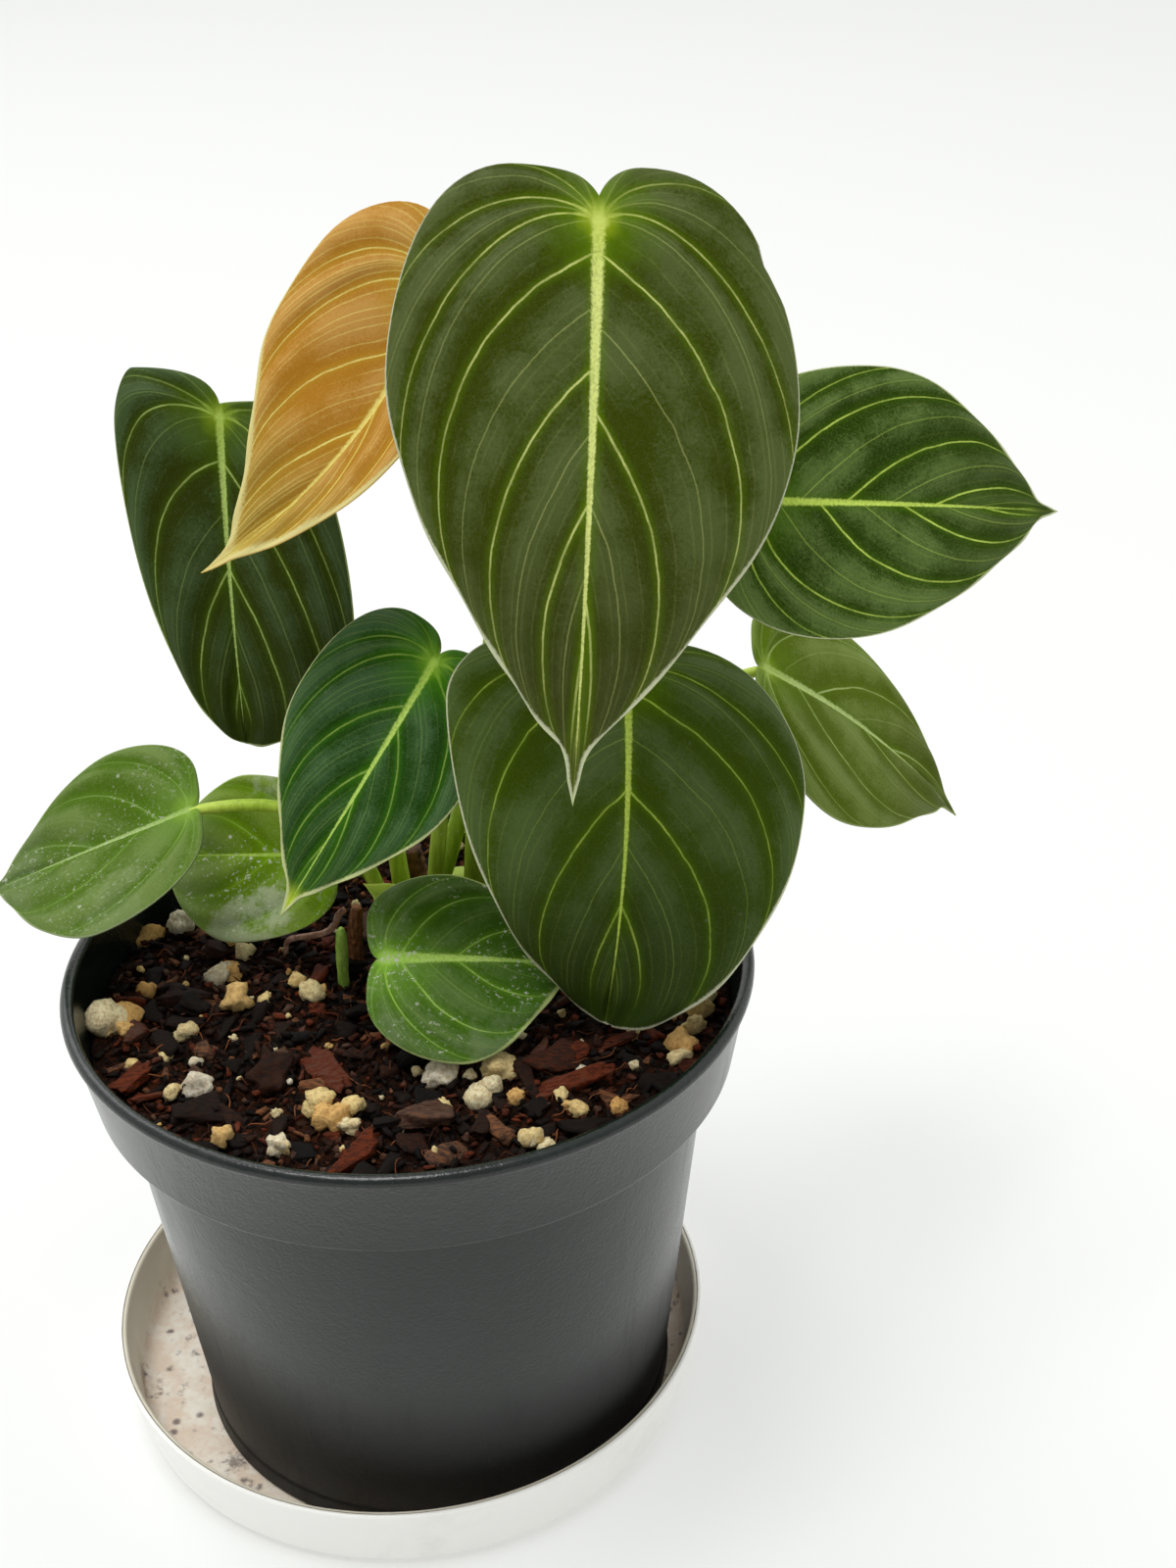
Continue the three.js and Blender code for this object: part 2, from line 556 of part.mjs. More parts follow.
for (const leaf of LEAVES.map(prepare)) {
  addMesh(`leaf_${leaf.name}`, bladeGeometry(leaf), leaf.color, 0.6);
  addMesh(`petiole_${leaf.name}`, petioleGeometry(leaf), 0x7d9a45, 0.5);
}

const sheath = prepare(CATAPHYLL);
addMesh("cataphyll", bladeGeometry(sheath), CATAPHYLL.color, 0.55);
addMesh("cataphyll_stalk", petioleGeometry(sheath), 0x9db060, 0.5);

export default philodendron;
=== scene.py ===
from collections import namedtuple
from math import radians

import bpy
import numpy as np
from mathutils import Matrix, Vector


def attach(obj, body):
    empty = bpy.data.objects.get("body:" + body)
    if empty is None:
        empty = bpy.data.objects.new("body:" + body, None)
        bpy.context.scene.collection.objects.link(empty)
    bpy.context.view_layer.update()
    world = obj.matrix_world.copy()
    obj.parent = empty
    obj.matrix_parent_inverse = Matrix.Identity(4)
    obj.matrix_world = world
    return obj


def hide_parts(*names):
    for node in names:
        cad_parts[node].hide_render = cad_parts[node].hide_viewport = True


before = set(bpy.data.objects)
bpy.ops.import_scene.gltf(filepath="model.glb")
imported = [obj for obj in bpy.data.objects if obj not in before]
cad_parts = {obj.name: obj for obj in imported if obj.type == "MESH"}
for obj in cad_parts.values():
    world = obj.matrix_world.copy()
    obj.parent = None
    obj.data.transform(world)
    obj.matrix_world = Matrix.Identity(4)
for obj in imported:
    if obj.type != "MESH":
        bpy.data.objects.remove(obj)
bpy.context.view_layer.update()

# A young velvet-leaved philodendron in a nursery pot on a saucer. Lengths are millimetres in
# formulas and become metres in the meshes. The origin is the middle of the saucer's underside.
MM = 0.001


# The view: a camera a little to the right of the pot, held above it and tipped down, over a pale
# table in a bright white room. Light comes through the leaves as well as onto them.
CAMERA_AT = (40.0, -327.2, 324.6)
CAMERA_DOWN = 29.8
CAMERA_ROLL = -1.5
FOCAL_PIXELS = 2110
PICTURE_HEIGHT = 1600
SENSOR = 36.0
FLOOR_REACH = 30000.0
FLOOR_COLOUR = (0.52, 0.528, 0.515, 1)
FLOOR_GLOW = 0.37
ROOM_FRONT = (0.5, 0.51, 0.5, 1)
ROOM_BACK = (1.0, 1.0, 0.98, 1)


def put(name, data):
    """A new object in the scene."""
    made = bpy.data.objects.new(name, data)
    bpy.context.scene.collection.objects.link(made)
    return made


camera = put("camera", bpy.data.cameras.new("camera"))
tilt = Matrix.Rotation(radians(90 - CAMERA_DOWN), 4, "X")
roll = Matrix.Rotation(radians(CAMERA_ROLL), 4, "Z")
camera.matrix_world = Matrix.Translation(Vector(CAMERA_AT) * MM) @ tilt @ roll
camera.data.lens = FOCAL_PIXELS / PICTURE_HEIGHT * SENSOR
camera.data.sensor_width = SENSOR
camera.data.clip_start = 0.01
bpy.context.scene.camera = camera
bpy.context.scene.view_settings.view_transform = "Standard"


def colour(paint):
    """Three screen values from 0 to 255, made linear as the shader wants them. Anything else, such
    as a Shade, stays as it is."""
    if not isinstance(paint, tuple) or len(paint) != 3:
        return paint
    screen = np.array(paint) / 255
    linear = np.where(screen <= 0.04045, screen / 12.92, ((screen + 0.055) / 1.055) ** 2.4)
    return (*linear.tolist(), 1.0)


def operator(operation):
    """What + - * / or ** does to a Shade: it adds a Math node."""
    return lambda self, other: self.math(operation, other)


class Shade:
    """A shader socket in a Python expression."""

    def __init__(self, tree, link=None):
        self.tree, self.link = tree, link

    def add(self, kind, inputs=None, output=0, **settings):
        """Adds a node of this type: its settings come first, then its sockets' values or links."""
        node = self.tree.nodes.new("ShaderNode" + kind)
        for name, value in settings.items():
            if name == "stops":
                ramp = node.color_ramp
                for extra in value[2:]:
                    ramp.elements.new(extra[0])
                for stop, (place, paint) in zip(ramp.elements, sorted(value)):
                    stop.position, stop.color = place, colour(paint)
            else:
                setattr(node, name, value)
        for name, value in (inputs or {}).items():
            if isinstance(value, Shade):
                self.tree.links.new(value.link, node.inputs[name])
            else:
                node.inputs[name].default_value = value
        return Shade(self.tree, node.outputs[output])

    def math(self, operation, *others):
        return self.add("Math", dict(enumerate((self, *others))), operation=operation)

    __add__ = __radd__ = operator("ADD")
    __sub__ = operator("SUBTRACT")
    __mul__ = __rmul__ = operator("MULTIPLY")
    __truediv__ = operator("DIVIDE")
    __pow__ = operator("POWER")

    def __rsub__(self, other):
        return self.add("Math", {0: other, 1: self}, operation="SUBTRACT")

    def step(self, start, end):
        """Smoothly 0 to 1 as the value goes from start to end, or the other way round."""
        low, high, first = (start, end, 0.0) if start < end else (end, start, 1.0)
        inputs = {"Value": self, "From Min": low, "From Max": high, "To Min": first, "To Max": 1.0 - first}
        return self.add("MapRange", inputs, interpolation_type="SMOOTHSTEP")

    def mix(self, low, high):
        """A colour between two others, this value being the share of the second."""
        inputs = {0: self, 6: colour(low), 7: colour(high)}
        return self.add("Mix", inputs, output=2, data_type="RGBA")

    def noise(self, scale, detail=3.0, roughness=0.55):
        """Noise on this vector, from about 0.3 to 0.7, with scale lumps to the metre."""
        inputs = {"Vector": self, "Scale": scale, "Detail": detail, "Roughness": roughness}
        return self.add("TexNoise", inputs)

    def stretched(self, x, y, z):
        """This vector with its axes scaled, so that a pattern on it is drawn out."""
        return self.add("Mapping", {"Vector": self, "Scale": (x, y, z)})

    def axis(self, name):
        return self.add("SeparateXYZ", {"Vector": self}, output="XYZ".index(name))

    def layer(self, name):
        """A number that the mesh carries at its faces' corners."""
        return self.add("Attribute", output=2, attribute_name=name)


# The room is darker behind the camera and brighter behind the plant.
room = bpy.data.worlds.new("room")
room.use_nodes = True
aim = Shade(room.node_tree).add("TexCoord", output="Generated")
brightness = aim.axis("Y").step(-0.8, 0.6).mix(ROOM_FRONT, ROOM_BACK)
room.node_tree.links.new(brightness.link, room.node_tree.nodes["Background"].inputs["Color"])
bpy.context.scene.world = room


def soft_light(name, at, towards, width, power):
    """A square area light, width millimetres wide, that faces a point."""
    lamp = bpy.data.lights.new(name, "AREA")
    lamp.size = width * MM
    lamp.energy = power
    facing = (Vector(towards) - Vector(at)).to_track_quat("-Z", "Y").to_matrix().to_4x4()
    put(name, lamp).matrix_world = Matrix.Translation(Vector(at) * MM) @ facing


soft_light("window", at=(-900, 1200, 1600), towards=(10, 0, 150), width=1200, power=8)
soft_light("ceiling", at=(-260, -250, 1700), towards=(10, 0, 100), width=700, power=13)

floor_mesh = bpy.data.meshes.new("table_top")
far = FLOOR_REACH * MM
floor_mesh.from_pydata([(-far, -far, 0), (far, -far, 0), (far, far, 0), (-far, far, 0)], [], [(0, 1, 2, 3)])
floor_paint = bpy.data.materials.new("table_paint")
floor_paint.use_nodes = True
floor_shader = floor_paint.node_tree.nodes["Principled BSDF"]
paint = {"Base Color": FLOOR_COLOUR, "Roughness": 1.0, "Specular IOR Level": 0.0,
         "Emission Color": (1, 1, 1, 1), "Emission Strength": FLOOR_GLOW}
for socket, value in paint.items():
    floor_shader.inputs[socket].default_value = value
floor_mesh.materials.append(floor_paint)
put("table_top", floor_mesh)


# The saucer: one moulded plastic dish with an upright wall and a rounded rim. Hard water has left
# a pinkish white crust on its floor, with brown and grey specks of washed-out soil.
SAUCER_RIM_R = 61.3
SAUCER_H = 16.3
SAUCER_FOOT_R = 55
SAUCER_FLOOR = 2.2
SAUCER_WALL = 1.9
TURN_STEPS = 176
ROUND_STEPS = 7


def finish(name, **constants):
    """A new material. Returns it, its shader, and the object coordinates as a Shade."""
    made = bpy.data.materials.new(name)
    made.use_nodes = True
    tree = made.node_tree
    shader = tree.nodes["Principled BSDF"]
    for socket, value in constants.items():
        shader.inputs[socket.replace("_", " ")].default_value = value
    place = Shade(tree).add("TexCoord", output="Object")
    return made, shader, place


def wire(shader, base, roughness, height, depth):
    """Links what varies over the surface to the shader. Height times depth, in metres, is a bump."""
    bump = height.add("Bump", {"Height": height, "Distance": depth, "Strength": 1.0})
    for varied, socket in ((base, "Base Color"), (roughness, "Roughness"), (bump, "Normal")):
        base.tree.links.new(varied.link, shader.inputs[socket])


def coated(base, *coats):
    """The base with coats laid over it in turn, each a (where it lies, colour)."""
    for where, paint in coats:
        base = where.mix(base, paint)
    return base


def grid_quads(rows, columns, wrap=False):
    """The corners of every cell in a grid. If it wraps, the last column joins the first."""
    i, j = np.meshgrid(np.arange(rows - 1), np.arange(columns if wrap else columns - 1), indexing="ij")
    k = (j + 1) % columns
    cells = [i * columns + j, i * columns + k, (i + 1) * columns + k, (i + 1) * columns + j]
    return np.stack(cells, axis=-1).reshape(-1, 4)


def make_mesh(name, points, quads, **layers):
    """A mesh from points in millimetres and rows of four corners. Points on one spot are joined, so
    seams and poles close, and a quad that loses a corner becomes a triangle. Each layer gives every
    point a number, kept at the faces' corners."""
    points = points.reshape(-1, 3)
    _, first, joined = np.unique(np.round(points, 4), axis=0, return_index=True, return_inverse=True)
    corners = first[joined.reshape(-1)][quads]
    kept = corners != np.roll(corners, 1, axis=1)
    count = kept.sum(axis=1)
    faces, sources = [], []
    for sides in (3, 4):
        rows = count == sides
        faces.append(corners[rows][kept[rows]].reshape(-1, sides))
        sources.append(quads[rows][kept[rows]])
    used = np.unique(np.concatenate([ring.reshape(-1) for ring in faces]))
    mesh = bpy.data.meshes.new(name)
    listed = [np.searchsorted(used, ring).tolist() for ring in faces]
    mesh.from_pydata((points[used] * MM).tolist(), [], listed[0] + listed[1])
    source = np.concatenate(sources)
    for layer, values in layers.items():
        made = mesh.attributes.new(layer, "FLOAT", "CORNER")
        made.data.foreach_set("value", np.broadcast_to(values, (len(points),))[source].astype(np.float32))
    mesh.shade_smooth()
    return mesh


def place_piece(mesh, material, slot, *nodes):
    """Puts a mesh in the scene, where it rides on the plant's one body and stands for nodes."""
    made = put(mesh.name, mesh)
    mesh.materials.append(material)
    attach(made, "root")
    if nodes:
        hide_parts(*nodes)


def bezier(controls, t):
    """The Bézier curve of any degree by repeated blends of neighbouring control points."""
    t = np.asarray(t, float)[..., None]
    while len(controls) > 1:
        controls = [a + (b - a) * t for a, b in zip(controls, controls[1:])]
    return controls[0]


def rounded(corners):
    """A profile through (radius, height, rounding) corners. Each rounded corner gives way to a
    quadratic Bézier curve between the points that lie its rounding away along both sides."""
    spots = np.array(corners, float)
    parts = []
    for n, (*spot, size) in enumerate(spots):
        spot = np.array(spot)
        if size == 0:
            parts.append(spot[None])
            continue
        arms = [spots[n + k, :2] - spot for k in (-1, 1)]
        arms = [arm / np.hypot(*arm) * size for arm in arms]
        curve = bezier([spot + arms[0], spot, spot + arms[1]], np.linspace(0, 1, ROUND_STEPS))
        parts.append(np.concatenate([[spot + 1.2 * arms[0]], curve, [spot + 1.2 * arms[1]]]))
    return np.concatenate(parts)


def circle(steps):
    """Evenly spaced angles round a full turn."""
    return np.arange(steps) * 2 * np.pi / steps


def turned(name, profile, centre=(0, 0)):
    """The profile's (radius, height) pairs carried round an upright axis: x = r cos a and
    y = r sin a."""
    a = circle(TURN_STEPS)
    r, z = profile[:, :1], profile[:, 1:] + 0 * a
    points = np.stack([centre[0] + r * np.cos(a), centre[1] + r * np.sin(a), z], axis=-1)
    return make_mesh(name, points, grid_quads(len(profile), TURN_STEPS, wrap=True))


saucer_profile = rounded([
    (0, 0, 0),
    (SAUCER_FOOT_R - 4, 0, 0.6),
    (SAUCER_FOOT_R - 3.6, 0.7, 0.4),
    (SAUCER_FOOT_R - 0.6, 0.7, 0.4),
    (SAUCER_FOOT_R, 0, 0.6),
    (58.2, 0.5, 2.4),
    (SAUCER_RIM_R - 0.1, SAUCER_H, 0.9),
    (SAUCER_RIM_R - SAUCER_WALL, SAUCER_H - 0.1, 0.8),
    (SAUCER_RIM_R - SAUCER_WALL - 2.2, SAUCER_FLOOR, 2.6),
    (0, SAUCER_FLOOR, 0),
])


def saucer_finish():
    """Off-white plastic, beige on the inside of the wall. The crust on the floor is stained and
    smeared brown and has grey specks, and there is a little dust."""
    made, shader, place = finish("saucer_plastic", Roughness=0.4, Coat_Weight=0.15)
    radius = (place.axis("X") ** 2 + place.axis("Y") ** 2) ** 0.5
    height = place.axis("Z")
    inside = (radius - 0.17 * height).step(0.0578, 0.0574) * height.step(0.0004, 0.0016)
    floor = height.step(0.0085, 0.0028) * inside
    beige = place.noise(55, 4).step(0.35, 0.7).mix((236, 228, 206), (250, 244, 226))
    wall = inside.mix((252, 251, 247), beige)
    crust = place.noise(140, 6, 0.7)
    pale = crust.step(0.38, 0.62).mix((240, 220, 198), (255, 248, 234))
    stain = place.noise(38, 2).step(0.56, 0.68) * floor
    smear = place.noise(75, 5, 0.75).step(0.56, 0.66) * floor
    cells = place.add("TexVoronoi", {"Vector": place, "Scale": 330.0})
    specks = cells.step(0.42, 0.14) * place.noise(300, 3).step(0.46, 0.6) * floor
    dust = place.noise(30, 5, 0.7).step(0.52, 0.75)
    base = coated(
        wall,
        (floor * place.noise(60, 3).step(0.28, 0.4), pale),
        (stain * 0.55, (222, 190, 150)),
        (smear * 0.75, (122, 104, 92)),
        (specks * 0.9, (116, 100, 96)),
        (dust * 0.12, (150, 140, 128)))
    rough = 0.36 + 0.5 * floor + 0.1 * dust
    wire(shader, base, rough, crust * floor + place.noise(900, 2) * 0.12, 0.0004)
    return made


place_piece(turned("saucer_dish", saucer_profile), saucer_finish(), "saucer", "saucer")


# The pot: thin injection-moulded plastic, charcoal and matte, with a stepped collar, a rolled lip
# and a foot ring. Handling and potting have left faint scuffs and dust on the collar.
POT_CENTRE = (5.5, -3.5)
POT_Z = 2.5
POT_H = 101
LIP_R = 65
BEAD_R = 1.3
COLLAR_H = 19
COLLAR_LOW_R = 61.3
BODY_TOP_R = 56.5
BODY_LOW_R = 47.6
FOOT_R = 48.4
FOOT_H = 4
POT_WALL = 1.3
LIP_Z = POT_Z + POT_H
STEP_Z = LIP_Z - COLLAR_H

bead_turn = np.radians(np.linspace(-70, 190, 14))[:, None]
bead_middle = np.array([LIP_R - BEAD_R, LIP_Z - BEAD_R])
bead = bead_middle + BEAD_R * np.hstack([np.cos(bead_turn), np.sin(bead_turn)])
pot_profile = np.concatenate([
    rounded([
        (0, POT_Z + 1.2, 0),
        (FOOT_R - 3, POT_Z + 1.2, 0.6),
        (FOOT_R - 2.6, POT_Z, 0.5),
        (FOOT_R, POT_Z, 0.5),
        (FOOT_R - 0.2, POT_Z + FOOT_H - 0.5, 0.3),
        (BODY_LOW_R + 0.3, POT_Z + FOOT_H, 0.3),
        (BODY_TOP_R, STEP_Z - 0.5, 1.4),
        (COLLAR_LOW_R - 0.1, STEP_Z + 0.1, 0.7),
        (LIP_R - BEAD_R + 0.25, LIP_Z - 2 * BEAD_R - 0.4, 0),
    ]),
    bead,
    rounded([
        (LIP_R - 2 * BEAD_R - 0.1, LIP_Z - 2.6, 0),
        (COLLAR_LOW_R - POT_WALL, STEP_Z + 1.6, 0.8),
        (BODY_TOP_R - POT_WALL, STEP_Z + 0.9, 0.8),
        (BODY_LOW_R - POT_WALL, POT_Z + 1.9, 0.8),
        (0, POT_Z + 1.9, 0),
    ]),
])


def pot_finish():
    """Charcoal plastic with a fine moulded grain, and painted shade that makes it darker low down. On it
    are cloudy scuffs, rubbed streaks on the collar, scratches and dust."""
    made, shader, place = finish("pot_plastic", Specular_IOR_Level=0.5)
    height = place.axis("Z")
    cloud = place.noise(28, 4, 0.6)
    grain = place.noise(1500, 3, 0.6)
    rubbed = place.stretched(1, 1, 0.16).noise(120, 5, 0.7).step(0.5, 0.72)
    # Painted shade: towards the foot the colour goes nearly black, where little light reaches the lower
    # wall.
    low = height.step(0.05, 0.022)
    scratch = place.stretched(1, 1, 6).noise(330, 6, 0.8).step(0.66, 0.72)
    dust = place.noise(2600, 2, 0.5).step(0.7, 0.76)
    base = coated(
        cloud.step(0.35, 0.7).mix((9, 19, 16), (15, 26, 22)),
        (rubbed * height.step(0.083, 0.0855) * 0.3, (46, 50, 49)),
        # The painted shade low down.
        (low * 0.95, (2, 3, 3)),
        (scratch * 0.12, (96, 98, 96)),
        (dust * 0.2, (120, 116, 106)))
    rough = 0.14 + 0.1 * cloud + 0.1 * rubbed + 0.4 * low
    wire(shader, base, rough, grain + rubbed * 0.3 + place.noise(260, 2) * 0.6, 0.0001)
    return made


place_piece(turned("pot_shell", pot_profile, POT_CENTRE), pot_finish(), "pot", "pot")


# The potting mix: dark composted bark and fibre that fills the pot, with chips of reddish and
# black bark, crumbs, and cream pumice grains that lie on it and half in it.
SOIL_TOP = 92.6
SOIL_R = COLLAR_LOW_R - POT_WALL + 0.6
SOIL_RELIEF = 0.5
BED_RINGS = 90
GOLDEN_ANGLE = 2.39996
FULL_TURN = 6.28


def draw(k, salt):
    """The fractional part of a large sine: the same 0 to 1 number for the same k and salt."""
    v = np.sin(np.asarray(k) * 12.9898 + salt * 78.233) * 43758.5453
    return v - np.floor(v)


def soil_height(x, y):
    """The top of the bed: one slow wave, as in the solid, and finer ones that roughen it."""
    slow = SOIL_RELIEF * np.sin(x * 0.31 + 1.3) * np.cos(y * 0.27 - 0.4)
    middle = 0.8 * np.sin(x * 0.9 + 1.7 * np.sin(y * 0.37)) * np.cos(y * 0.8 + 1.3 * np.sin(x * 0.41))
    fine = 0.45 * np.sin(x * 2.3 + y * 1.1 + 1.9 * np.sin(y * 0.9)) * np.cos(y * 2.6 - x * 0.7)
    return SOIL_TOP - 0.5 + slow + middle + fine


def bed_mesh():
    """A disc of rings whose height is soil_height, with a skirt down to the pot's floor."""
    skirt = [SOIL_R - 0.4, BODY_TOP_R - 2, BODY_LOW_R - 2, 0]
    r = np.concatenate([np.linspace(0, SOIL_R, BED_RINGS), skirt])[:, None]
    a = circle(TURN_STEPS)
    x, y = POT_CENTRE[0] + r * np.cos(a), POT_CENTRE[1] + r * np.sin(a)
    z = soil_height(x, y)
    z[-len(skirt):] = np.array([STEP_Z + 3, STEP_Z - 3, POT_Z + 2.4, POT_Z + 2.4])[:, None]
    quads = grid_quads(len(r), TURN_STEPS, wrap=True)[:, ::-1]
    return make_mesh("soil_bed", np.stack([x, y, z], axis=-1), quads)


def bed_finish():
    """Near black, damp and fibrous, with brown flecks."""
    made, shader, place = finish("soil_damp", Specular_IOR_Level=0.12)
    grain = place.noise(420, 8, 0.75)
    base = grain.step(0.42, 0.68).mix((8, 3, 1), (66, 32, 12))
    flecks = place.stretched(1, 2.6, 1).noise(900, 3, 0.6).step(0.6, 0.7)
    base = (flecks * 0.5).mix(base, (112, 58, 26))
    wire(shader, base, 0.95 - 0.3 * grain, grain + 0.4 * place.noise(1700, 4), 0.0012)
    return made


def turn_matrices(yaw, pitch, bank):
    """Rotation matrices for arrays of angles: bank about X, then pitch about Y, then yaw about Z."""
    def about(axis, angle):
        made = np.zeros((len(angle), 3, 3))
        i, j = (axis + 1) % 3, (axis + 2) % 3
        made[:, axis, axis] = 1
        made[:, i, i] = made[:, j, j] = np.cos(angle)
        made[:, j, i], made[:, i, j] = np.sin(angle), -np.sin(angle)
        return made
    return about(2, yaw) @ about(1, pitch) @ about(0, bank)


def scatter_mesh(name, centres, sizes, turns, square, rough, taper, tones, around=12, rows=9):
    """Many small lumps in one mesh. Each is a superellipsoid, the sphere's sines to the power of
    square, roughened by sine waves with its own phases, narrowed along X by taper, then scaled,
    turned and moved to its place. The layer tone gives each lump one number."""
    count = len(centres)
    u = circle(around)
    v = np.linspace(-np.pi / 2, np.pi / 2, rows)[:, None]
    bend = lambda wave: np.sign(wave) * np.abs(wave) ** square
    ball = [bend(np.cos(v)) * bend(np.cos(u)), bend(np.cos(v)) * bend(np.sin(u)), bend(np.sin(v)) + 0 * u]
    ball = np.stack(ball, axis=-1)
    ball[[0, -1], :, :2] = 0
    k = np.arange(count)[:, None, None]
    lump = 0
    for wave in range(3):
        aim = [2.1 * (draw(k, 20 + 3 * wave + axis) - 0.5) * (2 + 2 * wave) for axis in range(3)]
        phase = sum(aim[axis] * ball[..., axis] * 2 for axis in range(3)) + FULL_TURN * draw(k, 40 + wave)
        lump = lump + np.sin(phase) / (1.6 + wave)
    points = ball[None] * (1 + rough * lump)[..., None]
    points[..., 1] *= 1 + taper * (draw(k, 50) - 0.5) * points[..., 0]
    points = points * sizes[:, None, None, :]
    points = np.einsum("nij,nabj->nabi", turns, points) + centres[:, None, None, :]
    quads = grid_quads(rows, around, wrap=True)
    quads = (np.arange(count)[:, None, None] * rows * around + quads[None]).reshape(-1, 4)
    tone = np.broadcast_to(tones[:, None, None], (count, rows, around)).reshape(-1)
    return make_mesh(name, points, quads, tone=tone)


def spiral(count, salt, reach):
    """Places on a golden-angle spiral over the bed, each a little off its turn."""
    k = np.arange(count)
    r = reach * np.sqrt((k + 0.5 + 0.6 * draw(k, salt)) / (count + 0.6))
    a = k * GOLDEN_ANGLE + salt
    x, y = POT_CENTRE[0] + r * np.cos(a), POT_CENTRE[1] + r * np.sin(a)
    return k, x, y


def tinted_finish(name, stops, grain_scale, stretch, depth, roughness, speck=(12, 8, 7)):
    """Small pieces whose tone picks a colour, with their own grain and a fine bump."""
    made, shader, place = finish(name, Specular_IOR_Level=0.15)
    drawn = place.stretched(*stretch)
    grain = drawn.noise(grain_scale, 6, 0.7)
    tone = place.layer("tone")
    base = tone.add("ValToRGB", {"Fac": tone + 0.35 * (grain - 0.5)}, stops=stops)
    base = (grain.step(0.58, 0.36) * 0.55).mix(base, speck)
    wire(shader, base, roughness + 0.2 * grain, grain, depth)
    return made


def chips(name, count, salt, reach, long, wide, thick, around=12, rows=9):
    """Bark chips that lie nearly flat at random turns. long, wide and thick are (least, most)."""
    k, x, y = spiral(count, salt, reach)
    pick = lambda span, n: span[0] + (span[1] - span[0]) * draw(k, salt + n)
    sizes = np.stack([pick(long, 1), pick(wide, 2), pick(thick, 3)], axis=-1) / 2
    pitch, bank = 0.7 * (draw(k, salt + 5) - 0.5), 0.9 * (draw(k, salt + 6) - 0.5)
    turns = turn_matrices(FULL_TURN * draw(k, salt + 4), pitch, bank)
    centres = np.stack([x, y, soil_height(x, y) + 0.35 * sizes[:, 2] + 0.6 * draw(k, salt + 7)], axis=-1)
    return scatter_mesh(name, centres, sizes, turns, 0.5, 0.32, 1.2, draw(k, salt + 8), around, rows)


BARK_STOPS = [
    (0.0, (8, 4, 2)), (1.0, (134, 84, 50)), (0.48, (26, 14, 8)),
    (0.66, (56, 28, 15)), (0.82, (112, 46, 18)), (0.9, (80, 62, 52)),
]
bark = tinted_finish("bark_chips", BARK_STOPS, 520, (1, 3.2, 1.6), 0.0005, 0.55)
place_piece(bed_mesh(), bed_finish(), "soil", "soil")
loose_bark = chips("soil_bark", 190, 1.7, SOIL_R - 3.5, (2.4, 9), (1.4, 4.6), (0.8, 2.2))
place_piece(loose_bark, bark, "soil")
crumbs = chips("soil_crumbs", 2400, 5.3, SOIL_R - 1, (0.5, 3.2), (0.4, 1.6), (0.4, 1.2), around=7, rows=5)
place_piece(crumbs, bark, "soil")

# Larger bark pieces that catch the eye: x, y, turn in degrees, length, width, thickness, tone.
BIG_CHIPS = [
    (33, -24, 40, 11, 7, 2.4, 0.68),
    (36, -32, 10, 15, 3.4, 2.4, 0.82),
    (-9, -26, -55, 14, 5, 1.8, 0.84),
    (-19, -26, 75, 10, 7, 4, 0.6),
    (-31, -37, 20, 8, 5, 3, 0.5),
    (-44, -27, 60, 8, 4, 2, 0.78),
    (-38, -2, -20, 9, 5, 2.4, 0.55),
    (-36, -5, -25, 6, 3.6, 2, 0.3),
    (9, -40, 15, 10, 5.4, 3, 0.9),
    (-2, -51, 45, 11, 3, 1.6, 0.76),
    (20, -43, 80, 8, 2.8, 2, 0.56),
    (46, -14, -10, 9, 5, 2.5, 0.7),
]
big = np.array(BIG_CHIPS, float)
big_turns = turn_matrices(np.radians(big[:, 2]), 0.25 * np.sin(big[:, 0]), 0.35 * np.cos(big[:, 1]))
big_at = np.stack([big[:, 0], big[:, 1], soil_height(big[:, 0], big[:, 1]) + 1.3], axis=-1)
big_sizes, big_tones = big[:, 3:6] / 2, big[:, 6]
big_bark = scatter_mesh("soil_big_bark", big_at, big_sizes, big_turns, 0.42, 0.24, 1.2, big_tones, 26, 17)
place_piece(big_bark, bark, "soil")

# Pumice grains seen from the front: x, y and diameter. The rest follow the spiral.
SEEN_GRAINS = [
    (-51.5, -10, 6.2), (-48.5, -7.5, 4.2), (-48, -12, 3.4), (-33, 5.2, 4.2), (-30.5, 7.2, 4.6),
    (-28, -4.6, 5), (-29, 12.5, 4), (-14, -1.8, 5.2), (-17.5, 2.8, 3), (-22.9, -3.2, 2.6),
    (-32, -29.4, 4.6), (-36.7, -13, 3.4), (-6.8, -39.5, 5.6), (-9.2, -36, 4.2), (-3.4, -42, 3.6),
    (-3, -37, 3.4), (-15.3, -47, 3.8), (-25.4, -44.6, 3.8), (-49, 20.5, 4.6), (-43, 22, 4.4),
    (19.4, -34.4, 4.6), (21, -31.6, 3.8), (22.4, -26.8, 4.8), (12, -28.6, 4.8), (28.4, -46.6, 4),
    (31.2, -47.6, 3), (37.1, -38.4, 3.4), (56.2, -20.5, 4.4), (55.5, -24, 3.2), (58.4, -15.6, 4),
    (59.5, -9.8, 4.8), (60.6, -6, 4.4), (-46.3, 1.2, 3.2), (33.8, -35, 2.2), (-39, -19.5, 3),
]
seen = np.array(SEEN_GRAINS, float)


